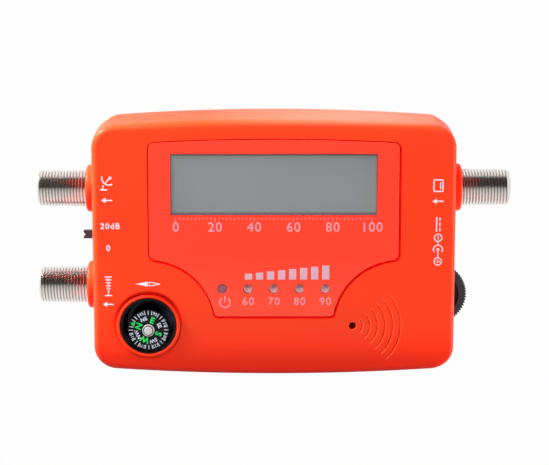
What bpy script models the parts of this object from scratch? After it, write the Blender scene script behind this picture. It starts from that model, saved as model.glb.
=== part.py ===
"""Handheld satellite signal meter: case, display, ports, compass and controls.

The meter lies on its back with its face up. +Z runs out of the face, +X is its
right-hand side and +Y its top side. The origin is the middle of the flat back.
"""

import math

import bmesh
import bpy
from mathutils import Matrix

MM = 0.001

# Fits
GAP = 0.3 * MM
OVERRUN = 2.0 * MM

# Facets
CORNER_STEPS = 5
ARCH_STEPS = 6
FACE_FILLET_STEPS = 3
BACK_FILLET_STEPS = 2
LENS_STEPS = 3
FINE_SIDES = 32
ROUND_SIDES = 20
SMALL_SIDES = 12
CREASE_ANGLE = math.radians(35)

# Case: a rounded box with slightly arched long sides, parted half way up
CASE_LENGTH = 93.7 * MM
CASE_WIDTH = 67.4 * MM
CASE_DEPTH = 27.0 * MM
CASE_WALL = 2.0 * MM
CASE_CORNER_RADIUS = 6.5 * MM
CASE_ARCH_RADIUS = 585.0 * MM
CASE_DRAFT = 0.45 * MM
FACE_EDGE_RADIUS = 1.6 * MM
BACK_EDGE_RADIUS = 1.2 * MM
PARTING_SHARE = 0.5

# The face rolls off towards its long edges
BOTTOM_ROLL_LENGTH = 8.0 * MM
BOTTOM_ROLL_DROP = 1.2 * MM
TOP_ROLL_LENGTH = 4.5 * MM
TOP_ROLL_DROP = 0.4 * MM
ROLL_STEP_SHARES = (0.0, 0.3, 0.6)

# The back half's rim has a lip that fits into a step in the front half's rim
RIM_LIP_HEIGHT = 1.0 * MM
RIM_LIP_INSET = 1.2 * MM

# Case screws
CASE_SCREW_INSET = 6.4 * MM
CASE_SCREW_HEAD_RADIUS = 2.2 * MM
CASE_SCREW_HEAD_HEIGHT = 1.6 * MM
CASE_SCREW_RADIUS = 1.1 * MM
CASE_SCREW_RISE = 7.0 * MM
CASE_SCREW_RECESS = 1.0 * MM
CASE_BOSS_RADIUS = 3.0 * MM

# Overlay panel
PANEL_SIDE_MARGIN = 14.8 * MM
PANEL_TOP_MARGIN = 5.4 * MM
PANEL_BOTTOM_MARGIN = 15.9 * MM
PANEL_THICKNESS = 0.5 * MM
PANEL_GROOVE = 0.35 * MM
PANEL_CORNER_RADIUS = 1.6 * MM
PANEL_SHOULDER_RADIUS = 2.0 * MM
PANEL_FOOT_RADIUS = 1.2 * MM
SCALLOP_RADIUS = 17.1 * MM
SCALLOP_STEPS = 9

# Display
WINDOW_SIDE_MARGIN = 5.75 * MM
WINDOW_TOP_MARGIN = 3.975 * MM
WINDOW_WIDTH = 15.45 * MM
WINDOW_PANE = 1.0 * MM
WINDOW_PANE_DROP = 0.15 * MM
DISPLAY_GLASS = 1.4 * MM
DISPLAY_FRAME_SIDE_MARGIN = 2.9 * MM
DISPLAY_FRAME_EDGE_MARGIN = 2.775 * MM
DISPLAY_FRAME_DEPTH = 5.4 * MM
DISPLAY_FRAME_WALL = 1.3 * MM
DISPLAY_FRAME_LIP = 0.5 * MM
DISPLAY_BOARD_SIDE_MARGIN = 2.3 * MM
DISPLAY_BOARD_EDGE_MARGIN = 2.5 * MM
DISPLAY_BOARD_THICKNESS = 1.3 * MM
HEADER_SCREW_ROOM = 4.1 * MM
HEADER_WIDTH = 2.5 * MM
DISPLAY_EDGE_INSET = 1.8 * MM
STANDOFF_RADIUS = 1.6 * MM
STANDOFF_INSET = 3.0 * MM
STANDOFF_INLET_ROOM = 2.6 * MM

# Lamps
LAMP_ROW_RISE = 7.4 * MM
LAMP_PITCH = 6.6 * MM
LAMP_RADIUS = 1.5 * MM
LAMP_FLANGE_RADIUS = 1.85 * MM
LAMP_FLANGE_HEIGHT = 0.8 * MM
LAMP_HEIGHT = 5.2 * MM
LAMP_PANEL_HOLE_RADIUS = 1.3 * MM
LAMP_SPACER_LENGTH = 31.0 * MM
LAMP_SPACER_WIDTH = 4.6 * MM
LAMP_NAMES = ("power_lamp", "signal_lamp_1", "signal_lamp_2", "signal_lamp_3", "signal_lamp_4")

# Compass
COMPASS_SIDE_INSET = 14.55 * MM
COMPASS_BOTTOM_INSET = 13.6 * MM
CAPSULE_RADIUS = 7.2 * MM
CAPSULE_WALL = 0.5 * MM
CAPSULE_FLOOR = 0.8 * MM
DOME_SKIRT = 0.9 * MM
DOME_RISE = 1.9 * MM
DOME_STEPS = 4
LIP_WIDTH = 0.95 * MM
LIP_HEIGHT = 0.6 * MM
LIP_ROUND = 0.3 * MM
WELL_WALL = 1.0 * MM
WELL_FLOOR = 1.0 * MM
CARD_RADIUS = 5.25 * MM
CARD_THICKNESS = 0.4 * MM
CARD_HOLE_RADIUS = 0.8 * MM
CARD_RIDE = 0.3 * MM
PIVOT_SETBACK = 1.15 * MM
PIVOT_RADIUS = 0.35 * MM
PIVOT_FOOT_RADIUS = 1.1 * MM
PIVOT_FOOT_HEIGHT = 0.6 * MM
PIVOT_POINT = 0.6 * MM
HUB_RADIUS = 1.55 * MM
HUB_BRIM = 0.25 * MM
HUB_CAP_RADIUS = 1.1 * MM
HUB_HEIGHT = 0.8 * MM
HUB_JEWEL_RADIUS = 0.3 * MM
MAGNET_RADIUS = 3.2 * MM
MAGNET_HOLE_RADIUS = 1.2 * MM
MAGNET_THICKNESS = 0.8 * MM

# Sounder
SOUNDER_SIDE_INSET = 26.65 * MM
SOUNDER_RADIUS = 6.0 * MM
SOUNDER_EDGE = 0.5 * MM
SOUNDER_MOUTH_RADIUS = 1.2 * MM
SOUNDER_MOUTH_DEPTH = 1.5 * MM
SOUND_HOLE_RADIUS = 0.93 * MM
SOUND_ARC_COUNT = 6
SOUND_ARC_START = 2.5 * MM
SOUND_ARC_PITCH = 1.97 * MM
SOUND_ARC_WIDTH = 0.4 * MM
SOUND_ARC_DEPTH = 0.25 * MM
SOUND_ARC_SPREAD = math.radians(90)
SOUND_ARC_STEPS = 7
GASKET_BORE_RADIUS = 2.5 * MM
GASKET_THICKNESS = 2.2 * MM

# Coaxial ports: 3/8-32 thread, as on every port of this kind
PORT_THREAD_RADIUS = 4.76 * MM
PORT_THREAD_PITCH = 0.794 * MM
PORT_THREAD_DEPTH_SHARE = 0.613
PORT_THREAD_SIDES = 12
PORT_REACH = 12.55 * MM
PORT_CHAMFER = 0.7 * MM
PORT_BORE_RADIUS = 3.4 * MM
PORT_COLLAR_RADIUS = 4.9 * MM
PORT_COLLAR_INSET = 0.3 * MM
PORT_BLOCK_WIDTH = 10.2 * MM
PORT_BLOCK_DEPTH = 4.7 * MM
FLANGE_RADIUS = 6.15 * MM
FLANGE_HEIGHT = 1.9 * MM
FLANGE_CHAMFER = 0.4 * MM
INSULATOR_RECESS = 0.5 * MM
CONTACT_RADIUS = 0.8 * MM
CONTACT_BORE_RADIUS = 0.4 * MM
CONTACT_BORE_DEPTH = 5.0 * MM
CONTACT_RECESS = 0.9 * MM
CONTACT_TAIL = 3.6 * MM
PORTS = (
    # name, side of the case, place along the side as a share of the case width
    ("satellite_port", -1, 0.204),
    ("antenna_port", -1, -0.176),
    ("receiver_port", 1, 0.208),
)

# Attenuator switch on the left side, stored at its upper end
SWITCH_SHARE = 0.0265
SWITCH_TRAVEL = 2.0 * MM
SWITCH_KNOB_WIDTH = 2.06 * MM
SWITCH_KNOB_HEIGHT = 2.0 * MM
SWITCH_KNOB_REACH = 2.9 * MM
SWITCH_KNOB_ROOT = 2.6 * MM
SWITCH_NOTCH = 0.7 * MM
SWITCH_BODY_LENGTH = 9.6 * MM
SWITCH_BODY_DEPTH = 5.4 * MM
SWITCH_BODY_HEIGHT = 4.0 * MM
SWITCH_BODY_WALL = 0.6 * MM

# Gain wheel on the right side
WHEEL_SHARE = -0.2065
WHEEL_RADIUS = 8.0 * MM
WHEEL_REACH = 3.65 * MM
WHEEL_THICKNESS = 2.2 * MM
WHEEL_RIM = 2.1 * MM
WHEEL_WEB_DROP = 0.5 * MM
WHEEL_BORE_RADIUS = 1.6 * MM
WHEEL_TEETH = 40
WHEEL_TOOTH_DEPTH = 0.25 * MM
WHEEL_SLOT_ROOM = 0.4 * MM
WHEEL_SLOT_END_ROOM = 0.6 * MM
WHEEL_TURN_ROOM = 0.3 * MM
POT_LENGTH = 8.6 * MM
POT_WIDTH = 10.0 * MM
POT_HEIGHT = 1.5 * MM
RIVET_RADIUS = 1.9 * MM
RIVET_HEIGHT = 0.5 * MM

# Power inlet on the right side
INLET_SHARE = 0.015
INLET_LENGTH = 11.4 * MM
INLET_WIDTH = 9.4 * MM
INLET_HEIGHT = 9.8 * MM
INLET_AXIS_RISE = 4.6 * MM
INLET_COLLAR_RADIUS = 4.0 * MM
INLET_COLLAR_RECESS = 0.4 * MM
INLET_BORE_RADIUS = 3.15 * MM
INLET_BORE_DEPTH = 9.5 * MM
INLET_PIN_RADIUS = 1.0 * MM
INLET_PIN_RECESS = 1.0 * MM

# Main board
BOARD_THICKNESS = 1.6 * MM
BOARD_MARGIN = 1.4 * MM
BOARD_SCREW_SIDE_INSET = 20.85 * MM
BOARD_SCREW_INSET = 7.2 * MM
BOARD_SCREW_HEAD_RADIUS = 1.9 * MM
BOARD_SCREW_HEAD_HEIGHT = 1.2 * MM
BOARD_SCREW_RADIUS = 0.9 * MM
BOARD_SCREW_LENGTH = 5.5 * MM
BOARD_POST_RADIUS = 2.4 * MM
CROSS_SPAN_SHARE = 1.1
CROSS_WIDTH_SHARE = 0.3
CROSS_DEPTH_SHARE = 0.55
HEAD_CROWN_SHARE = 0.6

# Parts on the board: place as shares of the board, then length, width and height
TUNER_PORT_ROOM = 1.85 * MM
TUNER_PLACE_SHARE = 0.02
TUNER_LENGTH = 36.0 * MM
TUNER_WIDTH = 34.0 * MM
TUNER_FLOOR_ROOM = 2.1 * MM
TUNER_EDGE = 0.6 * MM
CONTROLLER_PLACE_SHARES = (0.0, -0.36)
CONTROLLER_SIZE = 10.0 * MM
CONTROLLER_HEIGHT = 1.4 * MM
REGULATOR_PLACE_SHARES = (-0.3, -0.1)
REGULATOR_LENGTH = 6.5 * MM
REGULATOR_WIDTH = 3.5 * MM
REGULATOR_HEIGHT = 1.6 * MM
CRYSTAL_PLACE_SHARES = (-0.13, -0.4)
CRYSTAL_LENGTH = 4.6 * MM
CRYSTAL_WIDTH = 10.8 * MM
CRYSTAL_HEIGHT = 3.2 * MM
CHIP_EDGE = 0.3 * MM
CAPACITOR_RADIUS = 2.0 * MM
CAPACITOR_HEIGHT = 3.0 * MM
CAPACITOR_EDGE = 0.3 * MM
CAPACITOR_INLET_ROOM = 4.6 * MM
CAPACITOR_STANDOFF_ROOM = 3.0 * MM
CAPACITOR_SPACER_ROOM = 3.35 * MM
CAPACITOR_ROW_RISE = 2.5 * MM

# Places across the face, worked out from the case
PANEL_LENGTH = CASE_LENGTH - 2 * PANEL_SIDE_MARGIN
PANEL_TOP = CASE_WIDTH / 2 - PANEL_TOP_MARGIN
PANEL_BOTTOM = CASE_WIDTH / 2 - PANEL_BOTTOM_MARGIN
WINDOW_LENGTH = PANEL_LENGTH - 2 * WINDOW_SIDE_MARGIN
WINDOW_Y = PANEL_TOP - WINDOW_TOP_MARGIN - WINDOW_WIDTH / 2
DISPLAY_FRAME_LENGTH = WINDOW_LENGTH + 2 * DISPLAY_FRAME_SIDE_MARGIN
DISPLAY_FRAME_WIDTH = WINDOW_WIDTH + 2 * DISPLAY_FRAME_EDGE_MARGIN
DISPLAY_BOARD_LENGTH = DISPLAY_FRAME_LENGTH + 2 * DISPLAY_BOARD_SIDE_MARGIN
DISPLAY_BOARD_WIDTH = DISPLAY_FRAME_WIDTH + 2 * DISPLAY_BOARD_EDGE_MARGIN
LAMP_ROW_Y = LAMP_ROW_RISE - PANEL_BOTTOM
SOUNDER_X = CASE_LENGTH / 2 - SOUNDER_SIDE_INSET
BOARD_SCREW_X = CASE_LENGTH / 2 - BOARD_SCREW_SIDE_INSET
PORT_BLOCK_INNER_X = CASE_LENGTH / 2 - CASE_WALL - GAP - PORT_BLOCK_DEPTH
INLET_INNER_X = CASE_LENGTH / 2 - CASE_WALL - CASE_DRAFT - GAP - INLET_LENGTH
STANDOFF_X = INLET_INNER_X - STANDOFF_INLET_ROOM - STANDOFF_RADIUS
STANDOFF_Y = WINDOW_Y - DISPLAY_BOARD_WIDTH / 2 + STANDOFF_INSET

# Heights of the stack, worked out from the case
PARTING_Z = PARTING_SHARE * CASE_DEPTH
FLOOR_Z = CASE_WALL
ROOF_Z = CASE_DEPTH - CASE_WALL
BOARD_TOP = PARTING_Z - CONTACT_RADIUS - GAP
BOARD_BOTTOM = BOARD_TOP - BOARD_THICKNESS
SEAT_Z = BOARD_TOP + GAP
TUNER_HEIGHT = BOARD_BOTTOM - GAP - TUNER_FLOOR_ROOM - FLOOR_Z
GASKET_BOTTOM = ROOF_Z - GAP - GASKET_THICKNESS
PORT_BLOCK_TOP = PARTING_Z + PORT_BLOCK_WIDTH / 2
FLANGE_FACE_X = CASE_LENGTH / 2 + FLANGE_HEIGHT
COMPASS_X = COMPASS_SIDE_INSET - CASE_LENGTH / 2
COMPASS_Y = COMPASS_BOTTOM_INSET - CASE_WIDTH / 2
DISPLAY_BOARD_TOP = ROOF_Z - GAP - DISPLAY_FRAME_DEPTH - GAP
DISPLAY_BOARD_BOTTOM = DISPLAY_BOARD_TOP - DISPLAY_BOARD_THICKNESS
BOARD_LENGTH = CASE_LENGTH - 2 * CASE_WALL - 2 * BOARD_MARGIN
BOARD_WIDTH = CASE_WIDTH - 2 * CASE_WALL - 2 * BOARD_MARGIN

# Finishes: colour, roughness, metallic, alpha
FINISHES = {
    "case": ((0.95, 0.065, 0.022), 0.34, 0.0, 1.0),
    "panel": ((0.93, 0.07, 0.045), 0.3, 0.0, 1.0),
    "clear": ((0.92, 0.95, 0.95), 0.05, 0.0, 0.3),
    "display": ((0.24, 0.26, 0.24), 0.2, 0.0, 1.0),
    "white": ((0.85, 0.85, 0.82), 0.5, 0.0, 1.0),
    "black": ((0.012, 0.012, 0.015), 0.3, 0.0, 1.0),
    "card": ((0.006, 0.006, 0.008), 0.6, 0.0, 1.0),
    "lens": ((0.72, 0.72, 0.7), 0.1, 0.0, 1.0),
    "lens_dark": ((0.23, 0.14, 0.2), 0.2, 0.0, 1.0),
    "nickel": ((0.62, 0.6, 0.57), 0.25, 1.0, 1.0),
    "steel": ((0.5, 0.5, 0.5), 0.35, 1.0, 1.0),
    "brass": ((0.8, 0.6, 0.28), 0.3, 1.0, 1.0),
    "hub": ((0.55, 0.48, 0.38), 0.35, 1.0, 1.0),
    "wheel": ((0.06, 0.048, 0.06), 0.5, 0.0, 1.0),
    "board": ((0.02, 0.17, 0.06), 0.45, 0.0, 1.0),
    "phenolic": ((0.28, 0.13, 0.05), 0.6, 0.0, 1.0),
    "foam": ((0.05, 0.05, 0.05), 0.95, 0.0, 1.0),
    "chip": ((0.02, 0.02, 0.022), 0.5, 0.0, 1.0),
}


def surface(name, finish):
    """Make the material of one piece."""
    colour, roughness, metallic, alpha = FINISHES[finish]
    material = bpy.data.materials.new(name)
    material.use_nodes = True
    shader = material.node_tree.nodes["Principled BSDF"]
    shader.inputs["Base Color"].default_value = (*colour, 1.0)
    shader.inputs["Roughness"].default_value = roughness
    shader.inputs["Metallic"].default_value = metallic
    shader.inputs["Alpha"].default_value = alpha
    material.diffuse_color = (*colour, alpha)
    return material


def solid(name, bm):
    """Put a closed mesh in the scene, with its faces pointing out."""
    bmesh.ops.recalc_face_normals(bm, faces=bm.faces)
    mesh = bpy.data.meshes.new(name)
    bm.to_mesh(mesh)
    bm.free()
    piece = bpy.data.objects.new(name, mesh)
    bpy.context.scene.collection.objects.link(piece)
    return piece


def dress(piece, finish):
    """Give a piece its material and smooth shading."""
    piece.data.materials.clear()
    piece.data.materials.append(surface(piece.name, finish))
    piece.data.shade_smooth()
    piece.data.set_sharp_from_angle(angle=CREASE_ANGLE)
    return piece


def copy_of(piece, name):
    """Make another object that shares a piece's mesh."""
    twin = bpy.data.objects.new(name, piece.data)
    bpy.context.scene.collection.objects.link(twin)
    return twin


def combine(target, operation, *tools):
    """Cut, join or trim a piece with others, which are used up."""
    for tool in tools:
        modifier = target.modifiers.new("combine", "BOOLEAN")
        modifier.operation = operation
        modifier.solver = "EXACT"
        modifier.object = tool
        bpy.context.view_layer.update()
        evaluated = target.evaluated_get(bpy.context.evaluated_depsgraph_get())
        mesh = bpy.data.meshes.new_from_object(evaluated)
        target.modifiers.clear()
        mesh.name = target.name
        target.data = mesh
        bpy.data.objects.remove(tool)
    return target


def merged(*meshes):
    """Gather separate closed meshes into one, for a single cut."""
    whole = bmesh.new()
    for part in meshes:
        mesh = bpy.data.meshes.new("part")
        part.to_mesh(mesh)
        part.free()
        whole.from_mesh(mesh)
        bpy.data.meshes.remove(mesh)
    return whole


def loft(rings):
    """Skin a closed body through rings that have the same number of points."""
    bm = bmesh.new()
    loops = [[bm.verts.new(point) for point in ring] for ring in rings]
    for lower, upper in zip(loops, loops[1:]):
        for index, corner in enumerate(lower):
            after = (index + 1) % len(lower)
            bm.faces.new((corner, lower[after], upper[after], upper[index]))
    bm.faces.new(loops[0][::-1])
    bm.faces.new(loops[-1])
    return bm


def prism(outline, low, high):
    """Raise a flat outline of x, y points from one height to another."""
    return loft([[(x, y, z) for x, y in outline] for z in (low, high)])


def block(low, high):
    """Make a plain box between two corners."""
    (x0, y0, z0), (x1, y1, z1) = low, high
    return prism([(x0, y0), (x1, y0), (x1, y1), (x0, y1)], z0, z1)


def slab(centre, size, low, edge=0.0):
    """Make a box on a base height, with its upper edges cut at 45 degrees."""
    (x, y), (length, width, height) = centre, size
    rings = []
    for inset, z in ((0.0, low), (0.0, low + height - edge), (edge, low + height)):
        across, along = length / 2 - inset, width / 2 - inset
        corners = ((-across, -along), (across, -along), (across, along), (-across, along))
        rings.append([(x + dx, y + dy, z) for dx, dy in corners])
    if not edge:
        rings = rings[:2]
    return loft(rings)


def turned(profile, sides, closed=False, shape=None):
    """Turn a profile of radius, height points round the Z axis.

    A closed profile makes a ring. An open one ends on the axis or in a flat end.
    """
    bm = bmesh.new()
    rings = []
    for radius, height in profile:
        if radius == 0:
            rings.append([bm.verts.new((0, 0, height))])
            continue
        ring = []
        for side in range(sides):
            angle = 2 * math.pi * side / sides
            reach = shape(radius, side) if shape else radius
            ring.append(bm.verts.new((reach * math.cos(angle), reach * math.sin(angle), height)))
        rings.append(ring)
    pairs = list(zip(rings, rings[1:]))
    if closed:
        pairs.append((rings[-1], rings[0]))
    for lower, upper in pairs:
        if len(lower) == len(upper) == 1:
            continue
        for side in range(sides):
            after = (side + 1) % sides
            if len(lower) == 1:
                bm.faces.new((lower[0], upper[after], upper[side]))
            elif len(upper) == 1:
                bm.faces.new((lower[side], lower[after], upper[0]))
            else:
                bm.faces.new((lower[side], lower[after], upper[after], upper[side]))
    if not closed:
        if len(rings[0]) > 1:
            bm.faces.new(rings[0][::-1])
        if len(rings[-1]) > 1:
            bm.faces.new(rings[-1])
    return bm


def rod(radius, low, high, sides=ROUND_SIDES):
    """Make a plain upright cylinder."""
    return turned([(radius, low), (radius, high)], sides)


def placed(bm, x=0.0, y=0.0, z=0.0, side=0):
    """Move a mesh, after laying its Z axis along -X or +X when a side is given."""
    if side:
        bmesh.ops.rotate(bm, verts=bm.verts, matrix=side_turn(side).to_matrix())
    bmesh.ops.translate(bm, verts=bm.verts, vec=(x, y, z))
    return bm


def side_turn(side):
    """Give the rotation that lays +Z along -X or +X."""
    return Matrix.Rotation(side * math.pi / 2, 4, "Y").to_euler()


def arc(centre, radius, start, end, steps):
    """List points of an arc from one angle to another, both ends included."""
    points = []
    for step in range(steps + 1):
        angle = start + (end - start) * step / steps
        points.append((centre[0] + radius * math.cos(angle), centre[1] + radius * math.sin(angle)))
    return points


def mirrored(points):
    """Reflect an outline's points across the Y axis, in reverse order."""
    return [(-x, y) for x, y in reversed(points)]


def arched_corner(half_length, top, corner, arch, inset):
    """List the right half of an arched top edge, from its corner to its middle."""
    arch_centre = (0.0, top - arch)
    corner_x = half_length - corner
    corner_y = arch_centre[1] + math.sqrt((arch - corner) ** 2 - corner_x ** 2)
    meeting = math.atan2(corner_y - arch_centre[1], corner_x)
    turn = arc((corner_x, corner_y), corner - inset, 0.0, meeting, CORNER_STEPS)
    rise = arc(arch_centre, arch - inset, meeting, math.pi / 2, ARCH_STEPS // 2)
    return turn + rise[1:]


def case_outline(inset):
    """List the case's outline, drawn in by an inset."""
    right = arched_corner(
        CASE_LENGTH / 2, CASE_WIDTH / 2, CASE_CORNER_RADIUS, CASE_ARCH_RADIUS, inset
    )
    top = right + mirrored(right)[1:]
    bottom = [(-x, -y) for x, y in top]
    return top + bottom


def case_ring(inset, z):
    """Place the case's outline at a height."""
    return [(x, y, z) for x, y in case_outline(inset)]


def roll_drop(y):
    """Say how far the face lies below its flat middle at a distance from the middle."""
    if y < 0:
        beyond = -y - (CASE_WIDTH / 2 - BOTTOM_ROLL_LENGTH)
        return BOTTOM_ROLL_DROP * max(0.0, beyond / BOTTOM_ROLL_LENGTH) ** 2
    beyond = y - (CASE_WIDTH / 2 - TOP_ROLL_LENGTH)
    return TOP_ROLL_DROP * max(0.0, beyond / TOP_ROLL_LENGTH) ** 2


def split_face(bm, y):
    """Split the flat face of the case along a line, so that it can bend there."""
    faces = [face for face in bm.faces if min(v.co.z for v in face.verts) > CASE_DEPTH - GAP]
    edges = {edge for face in faces for edge in face.edges}
    verts = {vert for face in faces for vert in face.verts}
    pieces = [*verts, *edges, *faces]
    bmesh.ops.bisect_plane(bm, geom=pieces, plane_co=(0, y, 0), plane_no=(0, 1, 0))


def case_body():
    """Model the whole outside of the case, with its rolled face."""
    rings = []
    for step in range(BACK_FILLET_STEPS + 1):
        angle = math.pi / 2 * step / BACK_FILLET_STEPS
        inset = CASE_DRAFT + BACK_EDGE_RADIUS * (1 - math.sin(angle))
        rings.append(case_ring(inset, BACK_EDGE_RADIUS * (1 - math.cos(angle))))
    rings.append(case_ring(0.0, PARTING_Z))
    for step in range(FACE_FILLET_STEPS + 1):
        angle = math.pi / 2 * step / FACE_FILLET_STEPS
        inset = CASE_DRAFT + FACE_EDGE_RADIUS * (1 - math.cos(angle))
        rings.append(case_ring(inset, CASE_DEPTH - FACE_EDGE_RADIUS * (1 - math.sin(angle))))
    bm = loft(rings)
    for share in ROLL_STEP_SHARES:
        split_face(bm, (1 - share) * BOTTOM_ROLL_LENGTH - CASE_WIDTH / 2)
        split_face(bm, CASE_WIDTH / 2 - (1 - share) * TOP_ROLL_LENGTH)
    rolled = CASE_DEPTH - FACE_EDGE_RADIUS - GAP
    for vert in bm.verts:
        if vert.co.z > rolled:
            vert.co.z -= roll_drop(vert.co.y)
    return solid("case", bm)


def case_cavity():
    """Model the space inside the case."""
    rings = [
        case_ring(CASE_WALL + CASE_DRAFT, FLOOR_Z),
        case_ring(CASE_WALL, PARTING_Z),
        case_ring(CASE_WALL + CASE_DRAFT, ROOF_Z),
    ]
    return solid("cavity", loft(rings))


def corners(x, y):
    """List the four places at plus and minus x and y."""
    return [(sx * x, sy * y) for sy in (1, -1) for sx in (-1, 1)]


def case_screw_places():
    """List where the case screws stand."""
    return corners(CASE_LENGTH / 2 - CASE_SCREW_INSET, CASE_WIDTH / 2 - CASE_SCREW_INSET)


def board_screw_places():
    """List where the board screws stand."""
    return corners(BOARD_SCREW_X, CASE_WIDTH / 2 - BOARD_SCREW_INSET)


def lamp_places():
    """List the lamps' centres along their row."""
    middle = (len(LAMP_NAMES) - 1) / 2
    return [((index - middle) * LAMP_PITCH, LAMP_ROW_Y) for index in range(len(LAMP_NAMES))]


def panel_outline(offset):
    """List the overlay panel's outline, grown outwards by an offset."""
    half = PANEL_LENGTH / 2
    right = arched_corner(half, PANEL_TOP, PANEL_CORNER_RADIUS, CASE_ARCH_RADIUS, -offset)
    top = right + mirrored(right)[1:]

    # The left shoulder, the scallop round the compass and the foot, going down
    shoulder_x = PANEL_SHOULDER_RADIUS - half
    reach = SCALLOP_RADIUS + PANEL_SHOULDER_RADIUS
    shoulder_y = COMPASS_Y + math.sqrt(reach ** 2 - (shoulder_x - COMPASS_X) ** 2)
    turn = math.atan2(shoulder_y - COMPASS_Y, shoulder_x - COMPASS_X)
    shoulder = arc(
        (shoulder_x, shoulder_y),
        PANEL_SHOULDER_RADIUS + offset,
        math.pi,
        math.pi + turn,
        CORNER_STEPS,
    )
    foot_y = PANEL_FOOT_RADIUS - PANEL_BOTTOM
    reach = SCALLOP_RADIUS + PANEL_FOOT_RADIUS
    foot_x = COMPASS_X + math.sqrt(reach ** 2 - (foot_y - COMPASS_Y) ** 2)
    foot_turn = math.atan2(foot_y - COMPASS_Y, foot_x - COMPASS_X)
    scallop = arc((COMPASS_X, COMPASS_Y), SCALLOP_RADIUS - offset, turn, foot_turn, SCALLOP_STEPS)
    foot = arc(
        (foot_x, foot_y),
        PANEL_FOOT_RADIUS + offset,
        math.pi + foot_turn,
        1.5 * math.pi,
        CORNER_STEPS,
    )
    left = shoulder + scallop[1:] + foot[1:]
    return top + left + mirrored(left)


def wheel_centre():
    """Give the gain wheel's axis."""
    return CASE_LENGTH / 2 + WHEEL_REACH - WHEEL_RADIUS, WHEEL_SHARE * CASE_WIDTH


def wheel_base():
    """Give the height of the gain wheel's lower face."""
    return SEAT_Z + POT_HEIGHT + GAP


def switch_knob_base():
    """Give the height of the switch knob's lower face."""
    return SEAT_Z + SWITCH_BODY_WALL + GAP


def inlet_axis():
    """Give the power inlet's axis, as y and z."""
    return INLET_SHARE * CASE_WIDTH, SEAT_Z + INLET_AXIS_RISE


def case_additions():
    """Model what stands on and in the case: flanges, compass lip, well, bosses and posts."""
    root = CASE_LENGTH / 2 - CASE_WALL / 2
    parts = []
    for _, side, share in PORTS:
        reach = FLANGE_FACE_X - root
        profile = [
            (FLANGE_RADIUS, 0.0),
            (FLANGE_RADIUS, reach - FLANGE_CHAMFER),
            (FLANGE_RADIUS - FLANGE_CHAMFER, reach),
        ]
        flange = turned(profile, FINE_SIDES)
        parts.append(placed(flange, side * root, share * CASE_WIDTH, PARTING_Z, side))
    lip_radius = CAPSULE_RADIUS + GAP + LIP_WIDTH
    well_bottom = well_floor() - WELL_FLOOR
    crest = CASE_DEPTH + LIP_HEIGHT
    profile = [
        (CAPSULE_RADIUS + GAP + WELL_WALL, well_bottom),
        (CAPSULE_RADIUS + GAP + WELL_WALL, ROOF_Z + CASE_WALL / 2),
        (lip_radius, ROOF_Z + CASE_WALL / 2),
        (lip_radius, crest - LIP_ROUND),
        (lip_radius - LIP_ROUND, crest),
    ]
    parts.append(placed(turned(profile, FINE_SIDES), COMPASS_X, COMPASS_Y))
    for x, y in case_screw_places():
        boss = rod(CASE_BOSS_RADIUS, FLOOR_Z - CASE_WALL / 2, ROOF_Z + CASE_WALL / 2, SMALL_SIDES)
        parts.append(placed(boss, x, y))
    for x, y in board_screw_places():
        post = rod(BOARD_POST_RADIUS, FLOOR_Z - CASE_WALL / 2, BOARD_BOTTOM - GAP, SMALL_SIDES)
        parts.append(placed(post, x, y))
    return [solid("addition", part) for part in parts]


def well_floor():
    """Give the height of the floor that the compass capsule stands on."""
    return PORT_BLOCK_TOP + GAP + WELL_FLOOR


def case_recess():
    """Model the recess for the overlay panel, up through the face."""
    floor = CASE_DEPTH - PANEL_THICKNESS - GAP
    return prism(panel_outline(PANEL_GROOVE), floor, CASE_DEPTH + OVERRUN)


def sound_arcs():
    """Model the grooves that spread from the sounder hole."""
    parts = []
    for index in range(SOUND_ARC_COUNT):
        middle = SOUND_ARC_START + index * SOUND_ARC_PITCH
        inner = middle - SOUND_ARC_WIDTH / 2
        outer = middle + SOUND_ARC_WIDTH / 2
        half = SOUND_ARC_SPREAD / 2
        outline = arc((SOUNDER_X, COMPASS_Y), outer, -half, half, SOUND_ARC_STEPS)
        outline += arc((SOUNDER_X, COMPASS_Y), inner, half, -half, SOUND_ARC_STEPS)
        parts.append(prism(outline, CASE_DEPTH - SOUND_ARC_DEPTH, CASE_DEPTH + OVERRUN))
    return merged(*parts)


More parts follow.
